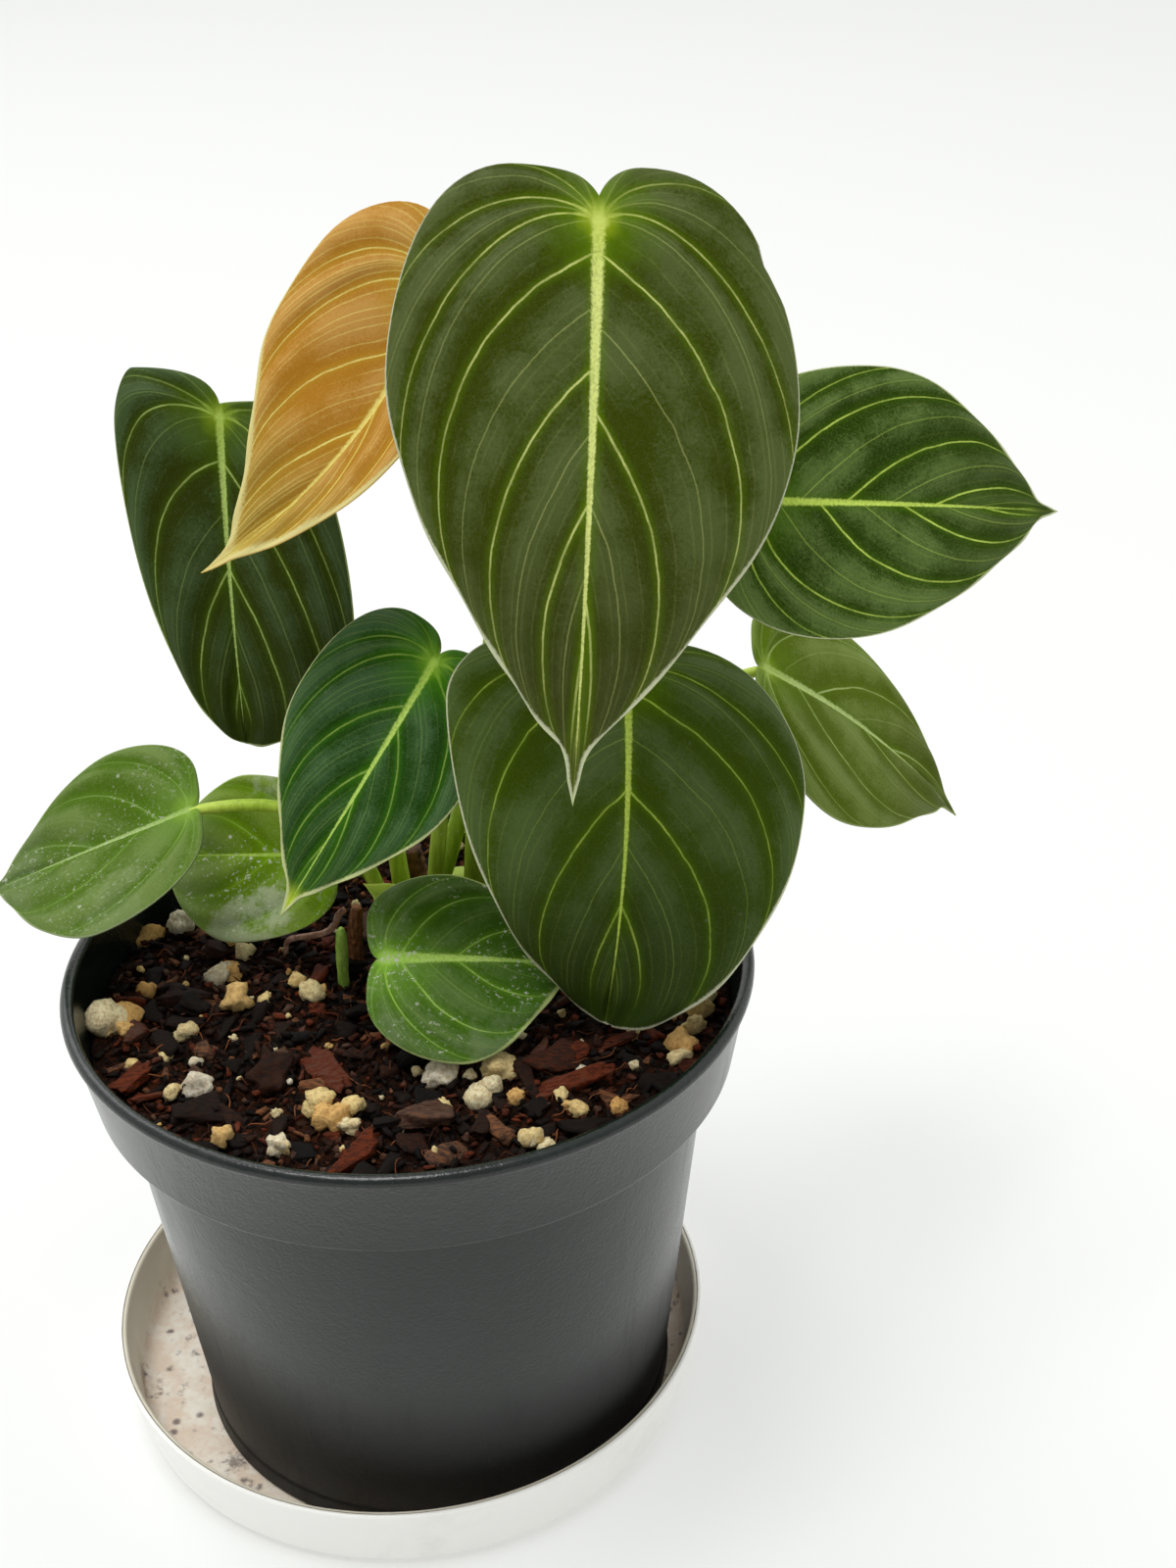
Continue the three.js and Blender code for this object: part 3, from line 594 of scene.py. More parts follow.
def grains(name, count, salt, square):
    """Pumice: the seen grains first, then small ones on the spiral, each lumpy and half sunk."""
    k, x, y = spiral(count, salt, SOIL_R - 2.5)
    small = 0.8 + 2.1 * draw(k, salt + 1) ** 2
    x, y = np.concatenate([seen[:, 0], x]), np.concatenate([seen[:, 1], y])
    wide = np.concatenate([seen[:, 2], small]) / 2
    k = np.arange(len(x))
    shape = np.stack([1.0 + 0.35 * draw(k, 31), 0.8 + 0.3 * draw(k, 32), 0.75 + 0.3 * draw(k, 33)], axis=-1)
    turns = turn_matrices(FULL_TURN * draw(k, 34), 1.2 * (draw(k, 35) - 0.5), 1.2 * (draw(k, 36) - 0.5))
    centres = np.stack([x, y, soil_height(x, y) + 0.45 * wide + 0.5], axis=-1)
    return scatter_mesh(name, centres, shape * wide[:, None], turns, square, 0.3, 0.5, draw(k, 37), 16, 11)


PUMICE_STOPS = [
    (0.0, (242, 186, 108)), (1.0, (255, 246, 222)), (0.35, (252, 226, 156)),
    (0.85, (255, 242, 196)),
]
pumice = tinted_finish("pumice", PUMICE_STOPS, 1300, (1, 1, 1), 0.0007, 0.7, (176, 130, 80))
place_piece(grains("soil_pumice", 110, 4.1, 0.8), pumice, "soil")


def unit(v):
    return v / np.linalg.norm(v, axis=-1, keepdims=True)


def tube(path, radii, sides, lumps=0.0, waves=5, ribs=0.0):
    """A round skin about a path of points: at each point, radius times the cosine and sine of the
    angle along two directions square to the path. Lumps swell and pinch it by sine waves, and ribs
    run along it by a cosine."""
    path = np.asarray(path, float)
    way = unit(np.gradient(path, axis=0))
    level = np.cross(way[0], way[-1]) + np.array([1e-3, 2e-3, 0])
    across = unit(level - way * (way @ level)[:, None])
    other = np.cross(way, across)
    a = circle(sides)
    k = np.linspace(0, 1, len(path))[:, None]
    knots = lumps * np.sin(waves * FULL_TURN * k + 2 * np.sin(a)) * np.cos(3 * a + 9 * k)
    swell = 1 + knots + ribs * np.cos(9 * a + 3 * k)
    r = np.asarray(radii, float)[:, None] * swell
    ring = across[:, None] * np.cos(a)[:, None] + other[:, None] * np.sin(a)[:, None]
    skin = path[:, None] + ring * r[..., None]
    caps = [np.broadcast_to(path[n], (1, sides, 3)) for n in (0, -1)]
    return np.concatenate([caps[0], skin, caps[1]])


def smooth_path(points, values, steps):
    """A Catmull-Rom curve through the points, with the values eased between them."""
    points = np.asarray(points, float)
    table = np.concatenate([points, np.asarray(values, float)[:, None]], axis=1)
    padded = np.concatenate([2 * table[:1] - table[1:2], table, 2 * table[-1:] - table[-2:-1]])
    t = np.linspace(0, len(points) - 1, steps)
    n = np.minimum(t.astype(int), len(points) - 2)
    f = (t - n)[:, None]
    a, b, c, d = (padded[n + k] for k in range(4))
    curve = 0.5 * (2 * b + (c - a) * f + (2 * a - 5 * b + 4 * c - d) * f**2 + (3 * b - a - 3 * c + d) * f**3)
    return curve[:, :3], curve[:, 3]


def fibres(name, count, salt):
    """Coarse coir hairs: short arcs that lie over the bed, thinning to both ends."""
    k, x, y = spiral(count, salt, SOIL_R - 5)
    parts, quads = [], []
    for n in k:
        turn, long, bow = FULL_TURN * draw(n, 61), 2.5 + 5 * draw(n, 62), 1.2 * (draw(n, 63) - 0.5)
        s = np.linspace(-1, 1, 7)
        px = x[n] + long / 2 * (s * np.cos(turn) - bow * (1 - s * s) * np.sin(turn))
        py = y[n] + long / 2 * (s * np.sin(turn) + bow * (1 - s * s) * np.cos(turn))
        pz = soil_height(px, py) + 0.4 + 1.1 * draw(n, 64) * (1 - s * s)
        skin = tube(np.stack([px, py, pz], -1), 0.13 * (1 - 0.6 * s * s), 4)
        quads.append(grid_quads(len(skin), 4, wrap=True) + sum(part.size // 3 for part in parts))
        parts.append(skin)
    tone = np.concatenate([np.full(part.size // 3, draw(n, 65)) for n, part in zip(k, parts)])
    points = np.concatenate([part.reshape(-1, 3) for part in parts])
    return make_mesh(name, points, np.concatenate(quads), tone=tone)


FIBRE_STOPS = [(0.0, (60, 34, 22)), (1.0, (150, 92, 56)), (0.5, (98, 52, 30))]
coir = tinted_finish("coir", FIBRE_STOPS, 900, (1, 1, 1), 0.0001, 0.7)
place_piece(fibres("soil_fibres", 260, 8.2), coir, "soil")


# The crown: what stands at the foot of the petioles. A block of old brown stem, a dried papery
# stalk, a short green shoot, and a pinkish root that runs over the soil to meet them.
GROWTHS = {
    "old_stem": dict(
        path=[(4, 34, 82), (4, 34, 94), (3.6, 33.4, 99), (3.2, 33, 104.5)], radii=(3, 3, 2.8, 2.3),
        lumps=0.08, ribs=0.05, slot="stem_bark", paint=((58, 34, 22), (122, 78, 50)),
        grain=(1, 1, 0.2)),
    "papery_stem": dict(
        path=[(-6.5, 9.5, 82), (-6.5, 9.5, 94), (-6.2, 9.4, 100), (-5.4, 9, 106)], radii=(1.4, 1.4, 1.5,
        1), lumps=0.1, ribs=0.12, slot="stem_papery", paint=((70, 38, 22), (150, 96, 56)),
        grain=(1, 1, 0.12)),
    "shoot": dict(
        path=[(-8.5, 3.5, 82), (-8.5, 3.5, 94), (-8.3, 3.4, 99), (-8.1, 3.3, 103.5), (-8, 3.2, 105)],
        radii=(1.1, 1.1, 1.2, 1, 0.5), lumps=0.03, ribs=0.0, slot="shoot", paint=((120, 164, 50),
        (172, 204, 92)), grain=(1, 1, 0.3)),
    "aerial_root": dict(
        path=[(-20.9, 14.3, 84), (-20.9, 14.3, 93), (-20, 14.1, 95.2), (-18, 13.7, 96.1),
        (-15, 13.2, 96.8), (-12.2, 12.6, 98), (-10.4, 12, 100), (-9.4, 11.4, 102.6), (-8.1, 9.9, 104.8)],
        radii=(0.5, 0.5, 0.6, 0.6, 0.65, 0.65, 0.7, 0.7, 0.6), lumps=0.1, ribs=0.0, slot="aerial_root",
        paint=((150, 102, 84), (214, 172, 152)), grain=(1, 1, 1)),
}


def stalk_finish(name, low, high, grain):
    """Plant skin with a grain drawn out along the stalk, between two colours."""
    made, shader, place = finish(name, Specular_IOR_Level=0.4)
    drawn = place.stretched(*grain).noise(700, 6, 0.7)
    base = drawn.step(0.36, 0.66).mix(low, high)
    wire(shader, base, 0.7 + 0.2 * (drawn - 0.5), drawn, 0.0003)
    return made


for node, growth in GROWTHS.items():
    path, radii = smooth_path(growth["path"], growth["radii"], 60)
    skin = tube(path, radii, 24, growth["lumps"], 7, growth["ribs"])
    mesh = make_mesh(node + "_skin", skin, grid_quads(len(skin), 24, wrap=True))
    place_piece(mesh, stalk_finish(node + "_bark", *growth["paint"], growth["grain"]), growth["slot"], node)


# The blades: heart-shaped velvet leaves, thin and quilted between veins that sweep from the
# junction and the midrib towards the drip tip. Each is its own piece on its own petiole. Thickness
# and relief are in millimetres, the rib and its knob are shares of the petiole's radius, and the
# last eight values are shares of the blade's length or of the way round its margin.
BLADE = 0.5
BLADE_EDGE = 0.3
MARGIN_WIDTH = 1.2
CREASE = 0.8
QUILT = 1.1
QUILT_PITCH = 6
GROOVE = 0.3
SLOPE_STEP = 0.05
RIB_SHARE = 0.75
RIB_TAPER = 0.85
KNOB_SHARE = 0.45
NECK_AT = 0.92
NECK_SPAN = 0.045
LOBE_END = 0.2
WIDEST_AT = 0.45
MARGIN_WAVE = 0.008
NOTCH_AT = 0.213
NOTCH_DEPTH = 0.05
NOTCH_SPAN = 0.012


def rolled(way, degrees):
    """The blade's normal and its sideways direction where the midrib runs along way: upright and
    level ones, turned about way by the roll."""
    up = unit(np.array([0, 0, 1.0]) - way * way[..., 2:])
    across = np.cross(way, up)
    a = np.radians(degrees)[..., None]
    return up * np.cos(a) + across * np.sin(a), across * np.cos(a) - up * np.sin(a)


class Leaf:
    """A leaf's measures in millimetres and degrees; pairs are for its right and left half. The
    midrib goes from base to tip, and its middle stands off by arch and, sideways, by sweep. The
    rest is explained where it is used. The petiole's foot is a place on the soil."""
    taper, neck, lean, notched = 0.84, 0.15, (0, 0), None

    def __init__(self, **measures):
        vars(self).update(measures)
        base, tip = np.array(self.base, float), np.array(self.tip, float)
        face, lateral = rolled(unit(tip - base), self.roll)
        self.length = float(np.linalg.norm(tip - base))
        self.rib = (base, (base + tip) / 2 + face * self.arch + lateral * self.sweep, tip)


LEAVES = {
    "front": Leaf(
        base=(44, 0, 239.5), tip=(37.5, -45, 159), arch=8, sweep=-0.6, roll=-11, twist=5, fold=(5, -2),
        droop=0.14, half=(32.7, 33.5), widest=(0.26, 0.31), lobe=(9, 10.6), shoulder=(0.4, 0.33),
        sinus=4.4, point=(3.9, 1.7), neck=0.5, veins=(8, 6), foot=(17, 15), rise=60, reach=(26, 6),
        stalk=1.9, tint="olive", notched=1),
    "gold": Leaf(
        base=(17, 15, 224.5), tip=(-25.5, 0, 181), arch=-7.7, sweep=-6.4, roll=-25, twist=-7,
        fold=(17, 23), droop=0.04, half=(25.7, 15.5), widest=(0.27, 0.3), lobe=(11.6, 7.6),
        shoulder=(0.41, 0.42), sinus=2.8, point=(0.6, 3.3), neck=0.35, veins=(7, 6), foot=(6, 17),
        lean=(24, 2), rise=60, reach=(20, 5), stalk=1.6, tint="gold"),
    "left": Leaf(
        base=(-25.5, 35, 196.5), tip=(-26, 25, 134), arch=5, sweep=-0.2, roll=2, twist=4, fold=(11, 16),
        droop=0.12, half=(19.7, 25), widest=(0.04, 0.61), lobe=(9, 2.8), shoulder=(0.82, 0.33), sinus=2.4,
        point=(9, 14), taper=1, neck=0, veins=(5.5, 5.5), foot=(2.5, 22), rise=45, reach=(18, 4),
        stalk=1.6, tint="bronze"),
    "mid_left": Leaf(
        base=(13, 5, 160), tip=(-16, -15, 120), arch=1, sweep=-1, roll=-19, twist=-5, fold=(15, 8),
        droop=0.11, half=(21, 19), widest=(0.28, 0.32), lobe=(6.1, 4.8), shoulder=(0.41, 0.42), sinus=2,
        point=(2.6, 2), neck=0.3, veins=(7, 6.5), foot=(9, 11), rise=25, reach=(12, 3), stalk=1.5,
        tint="blue"),
    "lower_front": Leaf(
        base=(47.5, 8, 156), tip=(42, -19.5, 97.6), arch=12, sweep=-0.4, roll=-24, twist=-8, fold=(11, 3),
        droop=0.15, half=(36, 38), widest=(0.13, 0.29), lobe=(5.2, 6.7), shoulder=(0.4, 0.28), sinus=3,
        point=(8.6, 13.6), taper=1.02, neck=0, veins=(6, 6), foot=(24, 13.5), rise=24, reach=(8, 2),
        stalk=1.8, tint="dark"),
    "right": Leaf(
        base=(70.5, 5, 189.5), tip=(131, 40, 171.5), arch=6.6, sweep=1.4, roll=55, twist=5, fold=(-1, 17),
        droop=0.12, half=(23.8, 25), widest=(0.2, 0.36), lobe=(9, 6.9), shoulder=(0.42, 0.39), sinus=3.3,
        point=(3.1, 2.5), neck=0.35, veins=(7, 6.5), foot=(30.5, 22), rise=50, reach=(14, 6), stalk=1.7,
        tint="deep"),
    "lower_right": Leaf(
        base=(75.5, 35, 142), tip=(119, 55, 95.5), arch=4.8, sweep=-2.6, roll=34, twist=7, fold=(9, 16),
        droop=0.16, half=(28, 20), widest=(0.24, 0.29), lobe=(4, 4), shoulder=(0.42, 0.4), sinus=2,
        point=(2.2, 3.1), neck=0.3, veins=(5.5, 5), foot=(33.5, 27), rise=26, reach=(10, 10), stalk=1.4,
        tint="mossy"),
    "far_left": Leaf(
        base=(-35.5, 10, 128), tip=(-78, 15, 107.5), arch=3.1, sweep=-2.5, roll=-24, twist=-7,
        fold=(16, 16), droop=0.11, half=(19, 23.5), widest=(0.31, 0.35), lobe=(3, 3),
        shoulder=(0.39, 0.35), sinus=1.4, point=(2, 2.2), veins=(5.5, 5), foot=(0.5, 10.5), rise=30,
        reach=(5, 20), stalk=1.4, tint="grey"),
    "low_left": Leaf(
        base=(-13.5, 15, 114.5), tip=(-48, 30, 106), arch=6.1, sweep=-1.3, roll=-49, twist=-2,
        fold=(16, 13), droop=0.08, half=(16, 18), widest=(0.34, 0.35), lobe=(4.6, 5),
        shoulder=(0.42, 0.41), sinus=1.7, point=(1.5, 1.5), veins=(5, 5), foot=(-2.5, 27), rise=9,
        reach=(5, 5), stalk=1.2, tint="fresh"),
    "low_centre": Leaf(
        base=(2.5, -14, 109.5), tip=(39, -8, 102.5), arch=3.3, sweep=0.9, roll=24, twist=3, fold=(0, 11),
        droop=0.12, half=(20.5, 18), widest=(0.35, 0.3), lobe=(3.8, 3.9), shoulder=(0.38, 0.45), sinus=1.7,
        point=(1.8, 1.4), veins=(6, 6), foot=(9, 1.5), rise=6, reach=(5, 2), stalk=1.2, tint="dusty"),
    "back": Leaf(
        base=(24, 30, 130), tip=(21, 22, 104), arch=2, sweep=0, roll=0, twist=0, fold=(8, 12), droop=0.12,
        half=(11.5, 9), widest=(0.36, 0.36), lobe=(2.5, 2.5), shoulder=(0.42, 0.42), sinus=1.2,
        point=(1, 1), veins=(5, 5), foot=(17.5, 32.5), rise=14, reach=(6, 2), stalk=1.1, tint="lime"),
    "seedling": Leaf(
        base=(11, 23, 101.5), tip=(19.5, 24, 100), arch=1.6, sweep=0, roll=20, twist=0, fold=(6, 6),
        droop=0.2, half=(4.4, 4.8), widest=(0.42, 0.42), lobe=(1.2, 1.2), shoulder=(0.45, 0.45), sinus=0.6,
        point=(0.8, 0.8), neck=0.1, veins=(5, 5), foot=(11, 27.5), rise=2, reach=(2.5, 1), stalk=0.9,
        tint="lime"),
}


def half_outline(leaf, side, m):
    """One half of the margin as (along the midrib, out from it): three cubic Bézier curves, from
    the sinus at m = 0 back round the lobe, past the widest place and on to the tip at m = 1. The
    halves close in on the tip from taper along the midrib, and narrow by neck just above it."""
    long = leaf.length
    pairs = leaf.half, leaf.widest, leaf.lobe, leaf.shoulder, leaf.point
    half, widest, lobe, shoulder, point = (pair[side] for pair in pairs)
    sinus, out, ahead = leaf.sinus, shoulder * half, widest * long
    spot = lambda x, y: np.array([x, y], float)
    back, wide = spot(-lobe, out), spot(ahead, half)
    round_lobe = [
        spot(-sinus, 0), spot(-sinus - (lobe - sinus) * 0.75, 0.02 * long), spot(-lobe, out * 0.45), back]
    to_widest = [
        back, spot(-lobe, out + (half - out) * 0.62), spot(ahead - (ahead + lobe) * 0.5, half), wide]
    to_tip = [
        wide, spot(ahead + (1 - widest) * long * 0.42, half),
        spot(leaf.taper * long, point), spot(long, 0)]
    m = np.asarray(m, float)
    spans = ((round_lobe, 0, LOBE_END), (to_widest, LOBE_END, WIDEST_AT), (to_tip, WIDEST_AT, 1))
    parts = [bezier(curve, (m - start) / (end - start)) for curve, start, end in spans]
    parts[2][..., 1] *= 1 - leaf.neck * np.exp(-(((parts[2][..., 0] / long - NECK_AT) / NECK_SPAN) ** 2))
    early, middle = (m < LOBE_END)[..., None], (m < WIDEST_AT)[..., None]
    return np.where(early, parts[0], np.where(middle, parts[1], parts[2]))


def vein_grid(leaf, side, q, t):
    """Places on the flat blade. q names a side vein, from the sinus to the tip, and t runs along it
    from the midrib to the margin. Each is a cubic Bézier curve that leaves the midrib at its own
    root, heads for the margin behind its end, and lies nearly along the margin as it gets there."""
    long = leaf.length
    root = long * np.clip((q - 0.45) / 0.55, 0, 1) ** 1.2
    root = np.stack([root, 0 * root], axis=-1)
    end = 1 - (1 - q) ** 1.75
    lag = np.minimum(0.53 * (1 - q), 0.55 * end)
    pull = (1 - 0.4 * np.clip((q - 0.72) / 0.28, 0, 1))[..., None]
    first = root + 0.75 * pull * (half_outline(leaf, side, end - lag) - root)
    second = root + pull * (half_outline(leaf, side, end - 0.42 * lag) - root)
    return bezier([root, first, second, half_outline(leaf, side, end)], t)


def in_space(leaf, side, flat):
    """Bends the flat blade. The midrib follows a quadratic Bézier curve. Each half rises by its
    fold, rounded at the crease, droops with the square of its width, and the lobes sink behind
    the junction. Returns the points and the midrib's normals."""
    base, bend, tip = leaf.rib
    long = leaf.length
    k = np.clip(flat[..., 0] / long, 0, 1)
    point = bezier([base, bend, tip], k)
    way = unit(2 * (1 - k)[..., None] * (bend - base) + 2 * k[..., None] * (tip - bend))
    normal, lateral = rolled(way, leaf.roll + leaf.twist * k)
    behind = np.minimum(flat[..., 0], 0)
    out = flat[..., 1]
    fold = np.radians(leaf.fold[side])
    slope = np.sqrt(out**2 + CREASE**2) - CREASE
    rise = slope * np.sin(fold) - leaf.droop * out**2 / leaf.half[side] - 1.5 * behind**2 / long
    sign = 1 if side == 0 else -1
    placed = point + way * behind[..., None] + lateral * (sign * out * np.cos(fold))[..., None]
    return placed + normal * rise[..., None], normal


def half_blade(leaf, side, q, t):
    """One half of the blade on the (q, t) grid: its middle surface, its normals, which point up out
    of the face, and what the material reads, all in millimetres. The margin is drawn in a little at
    each strong vein by a squared sine, and one half has a notch shaped like a bell curve."""
    flat = vein_grid(leaf, side, q, t)
    rank = q * leaf.veins[side]
    wave = MARGIN_WAVE * (np.sin(np.pi * rank) ** 2 - 0.5) * np.clip(3 * (1 - q), 0, 1) ** 2
    if side == leaf.notched:
        wave = wave - NOTCH_DEPTH * np.exp(-(((q - NOTCH_AT) / NOTCH_SPAN) ** 2))
    wavy = flat * (1 + t**6 * wave)[..., None]
    middle, crease_normal = in_space(leaf, side, wavy)
    along, outward = (
        in_space(leaf, side, wavy + step)[0] - in_space(leaf, side, wavy - step)[0]
        for step in SLOPE_STEP * np.eye(2))
    sloped = unit(np.cross(outward, along) if side == 0 else np.cross(along, outward))
    blend = np.exp(-((flat[..., 1] / 0.7) ** 2))[..., None]
    normal = unit(sloped * (1 - blend) + crease_normal * blend)
    by_q = np.gradient(flat, axis=0) / np.gradient(q, axis=0)[..., None]
    by_t = np.gradient(flat, axis=1) / np.gradient(t, axis=1)[..., None]
    cell = np.abs(by_q[..., 0] * by_t[..., 1] - by_q[..., 1] * by_t[..., 0])
    pitch = cell / np.maximum(np.linalg.norm(by_t, axis=-1), 0.5) / leaf.veins[side]
    edge = half_outline(leaf, side, np.linspace(0, 1, 240))
    span = flat.reshape(-1, 1, 2) - edge[None, :-1]
    run = edge[1:] - edge[:-1]
    share = np.clip((span * run).sum(-1) / (run**2).sum(-1), 0, 1)
    rim = np.linalg.norm(span - share[..., None] * run, axis=-1).min(axis=1).reshape(q.shape)
    facts = {
        "rank": rank, "pitch": pitch, "mid": flat[..., 1],
        "rim": rim, "hub": np.linalg.norm(flat, axis=-1), "along": flat[..., 0] / leaf.length,
    }
    return middle, normal, facts


def blade_mesh(name, leaf, columns, rows):
    """A closed thin blade. Top and bottom lie half a thickness off the middle surface, and swell
    between the strong veins by a squared sine. The top is grooved along the midrib, and the bottom
    has its rib and the knob of the petiole. Round the margin a narrow strip joins them."""
    q = np.linspace(0, 1, columns + 1)
    t = np.linspace(0, 1, rows + 1) ** 1.35
    q, t = np.meshgrid(q, t, indexing="ij")
    halves = [half_blade(leaf, side, q, t) for side in (0, 1)]
    size = min(leaf.length / 60, 1.0)
    faces, numbers = [], []
    for under in (0, 1):
        for side in ((1, 0), (0, 1))[under]:
            middle, normal, facts = halves[side]
            swell = np.sin(np.pi * facts["rank"]) ** 2 * np.clip(facts["pitch"] / QUILT_PITCH, 0, 1)
            quilt = QUILT * size * swell * 4 * t * (1 - t)
            edge = np.clip(facts["rim"] / MARGIN_WIDTH, 0, 1)
            thick = BLADE_EDGE + (BLADE - BLADE_EDGE) * edge
            rib = RIB_SHARE * leaf.stalk * (1 - RIB_TAPER * np.clip(facts["along"], 0, 1))
            ridge = np.sqrt(np.clip(rib**2 - facts["mid"] ** 2, 0, None)) * np.clip(facts["hub"] / 3, 0, 1)
            ridge = ridge * (facts["along"] > 0) * edge
            if under:
                knob = KNOB_SHARE * leaf.stalk * np.exp(-((facts["hub"] / leaf.stalk) ** 2)) * edge
                offset = quilt - thick / 2 - np.maximum(ridge * 0.7, knob)
            else:
                groove = GROOVE * size * np.exp(-((facts["mid"] / CREASE) ** 2))
                groove = groove * edge * np.clip(facts["hub"] / 5, 0, 1)
                offset = quilt + thick / 2 - groove
            sheet = middle + normal * offset[..., None]
            flipped = side != under
            order = slice(None, None, -1) if flipped else slice(None)
            faces.append(sheet[:, order])
            numbers.append({key: value[:, order] for key, value in facts.items()} | {
                "under": np.full(q.shape, float(under)), "reach": t[:, order]})
    points = np.concatenate(faces, axis=1)
    layers = {key: np.concatenate([part[key] for part in numbers], axis=1).reshape(-1) for key in numbers[0]}
    quads = grid_quads(points.shape[0], points.shape[1], wrap=True)
    return make_mesh(name, points, quads, **layers)


# What each leaf is painted with. First colours: the dark between the veins, the greyish painted
# sheen, the green beside the veins, a darker, browner colour towards the tip that is partly painted
# shadow where a leaf behind keeps light from coming through, the veins, the margin, the underside,
# the light through the blade, which is also painted round the junction as a glow, and the drip tip.
# Then how much light passes, how much dust, fine lines and side veins show, how wide the midrib and
# the tip's margin are, and the haze that dried water left.
Tint = namedtuple(
    "Tint", "dark bloom green end vein edge under light tip through dust net lines rib brim haze")
TINTS = {
    "olive": [
        (41, 49, 0), (82, 93, 53), (88, 122, 0), (48, 46, 22), (248, 255, 158), (252, 250, 226),
        (112, 112, 64), (206, 226, 40), (58, 60, 26), 0.22, 0.03, 0.05, 0.66, 1.0, 1.6, 0.0],
    "gold": [
        (174, 120, 32), (200, 152, 78), (200, 160, 44), (146, 128, 44), (250, 240, 140), (246, 248, 176),
        (190, 128, 66), (252, 222, 120), (232, 228, 130), 0.16, 0.03, 0.42, 0.98, 0.95, 5.5, 0.0],
    "bronze": [
        (44, 52, 0), (64, 84, 46), (72, 98, 0), (44, 56, 6), (186, 210, 116), (190, 204, 138),
        (100, 118, 58), (160, 190, 30), (44, 56, 6), 0.07, 0.03, 0.06, 0.66, 0.74, 0.3, 0.0],
    "deep": [
        (38, 60, 0), (94, 117, 56), (74, 112, 0), (48, 66, 8), (216, 242, 108), (236, 240, 196),
        (100, 118, 58), (160, 190, 30), (48, 66, 8), 0.07, 0.03, 0.06, 0.88, 0.76, 0.8, 0.0],
    "blue": [
        (28, 62, 2), (64, 96, 56), (62, 122, 4), (32, 66, 12), (198, 230, 112), (232, 238, 172),
        (106, 130, 68), (150, 200, 40), (196, 216, 64), 0.07, 0.04, 0.09, 0.4, 0.8, 2.0, 0.0],
    "dark": [
        (58, 76, 0), (80, 100, 50), (86, 118, 0), (46, 60, 16), (208, 232, 100), (250, 250, 214),
        (104, 118, 60), (160, 190, 30), (46, 64, 16), 0.06, 0.04, 0.06, 0.55, 0.85, 1.2, 0.0],
    "mossy": [
        (82, 100, 12), (114, 133, 56), (98, 126, 18), (74, 84, 18), (202, 222, 140), (176, 190, 122),
        (116, 132, 72), (160, 190, 50), (74, 84, 18), 0.08, 0.05, 0.04, 0.6, 0.95, 0.3, 0.0],
    "grey": [
        (70, 100, 12), (104, 127, 60), (92, 130, 30), (86, 108, 50), (172, 198, 124), (176, 190, 140),
        (120, 138, 86), (150, 190, 60), (86, 108, 50), 0.06, 0.5, 0.03, 0.3, 0.6, 0.3, 0.06],
    "fresh": [
        (88, 120, 4), (124, 150, 54), (124, 168, 12), (154, 178, 112), (186, 220, 96), (186, 206, 120),
        (128, 152, 78), (160, 210, 40), (134, 158, 88), 0.06, 1.2, 0.04, 0.25, 0.5, 0.3, 0.4],
    "dusty": [
        (56, 90, 10), (84, 112, 50), (100, 146, 30), (64, 104, 24), (190, 224, 112), (214, 228, 150),
        (128, 152, 78), (150, 210, 40), (70, 112, 24), 0.05, 1.1, 0.06, 0.5, 1.2, 3.0, 0.08],
    "lime": [
        (222, 240, 140), (240, 250, 186), (196, 222, 90), (190, 212, 110), (222, 234, 150),
        (236, 238, 180), (226, 240, 160), (236, 250, 150), (132, 168, 44), 0.4, 0.05, 0.05, 0.4, 0.5, 0.5,
        0.0],
}


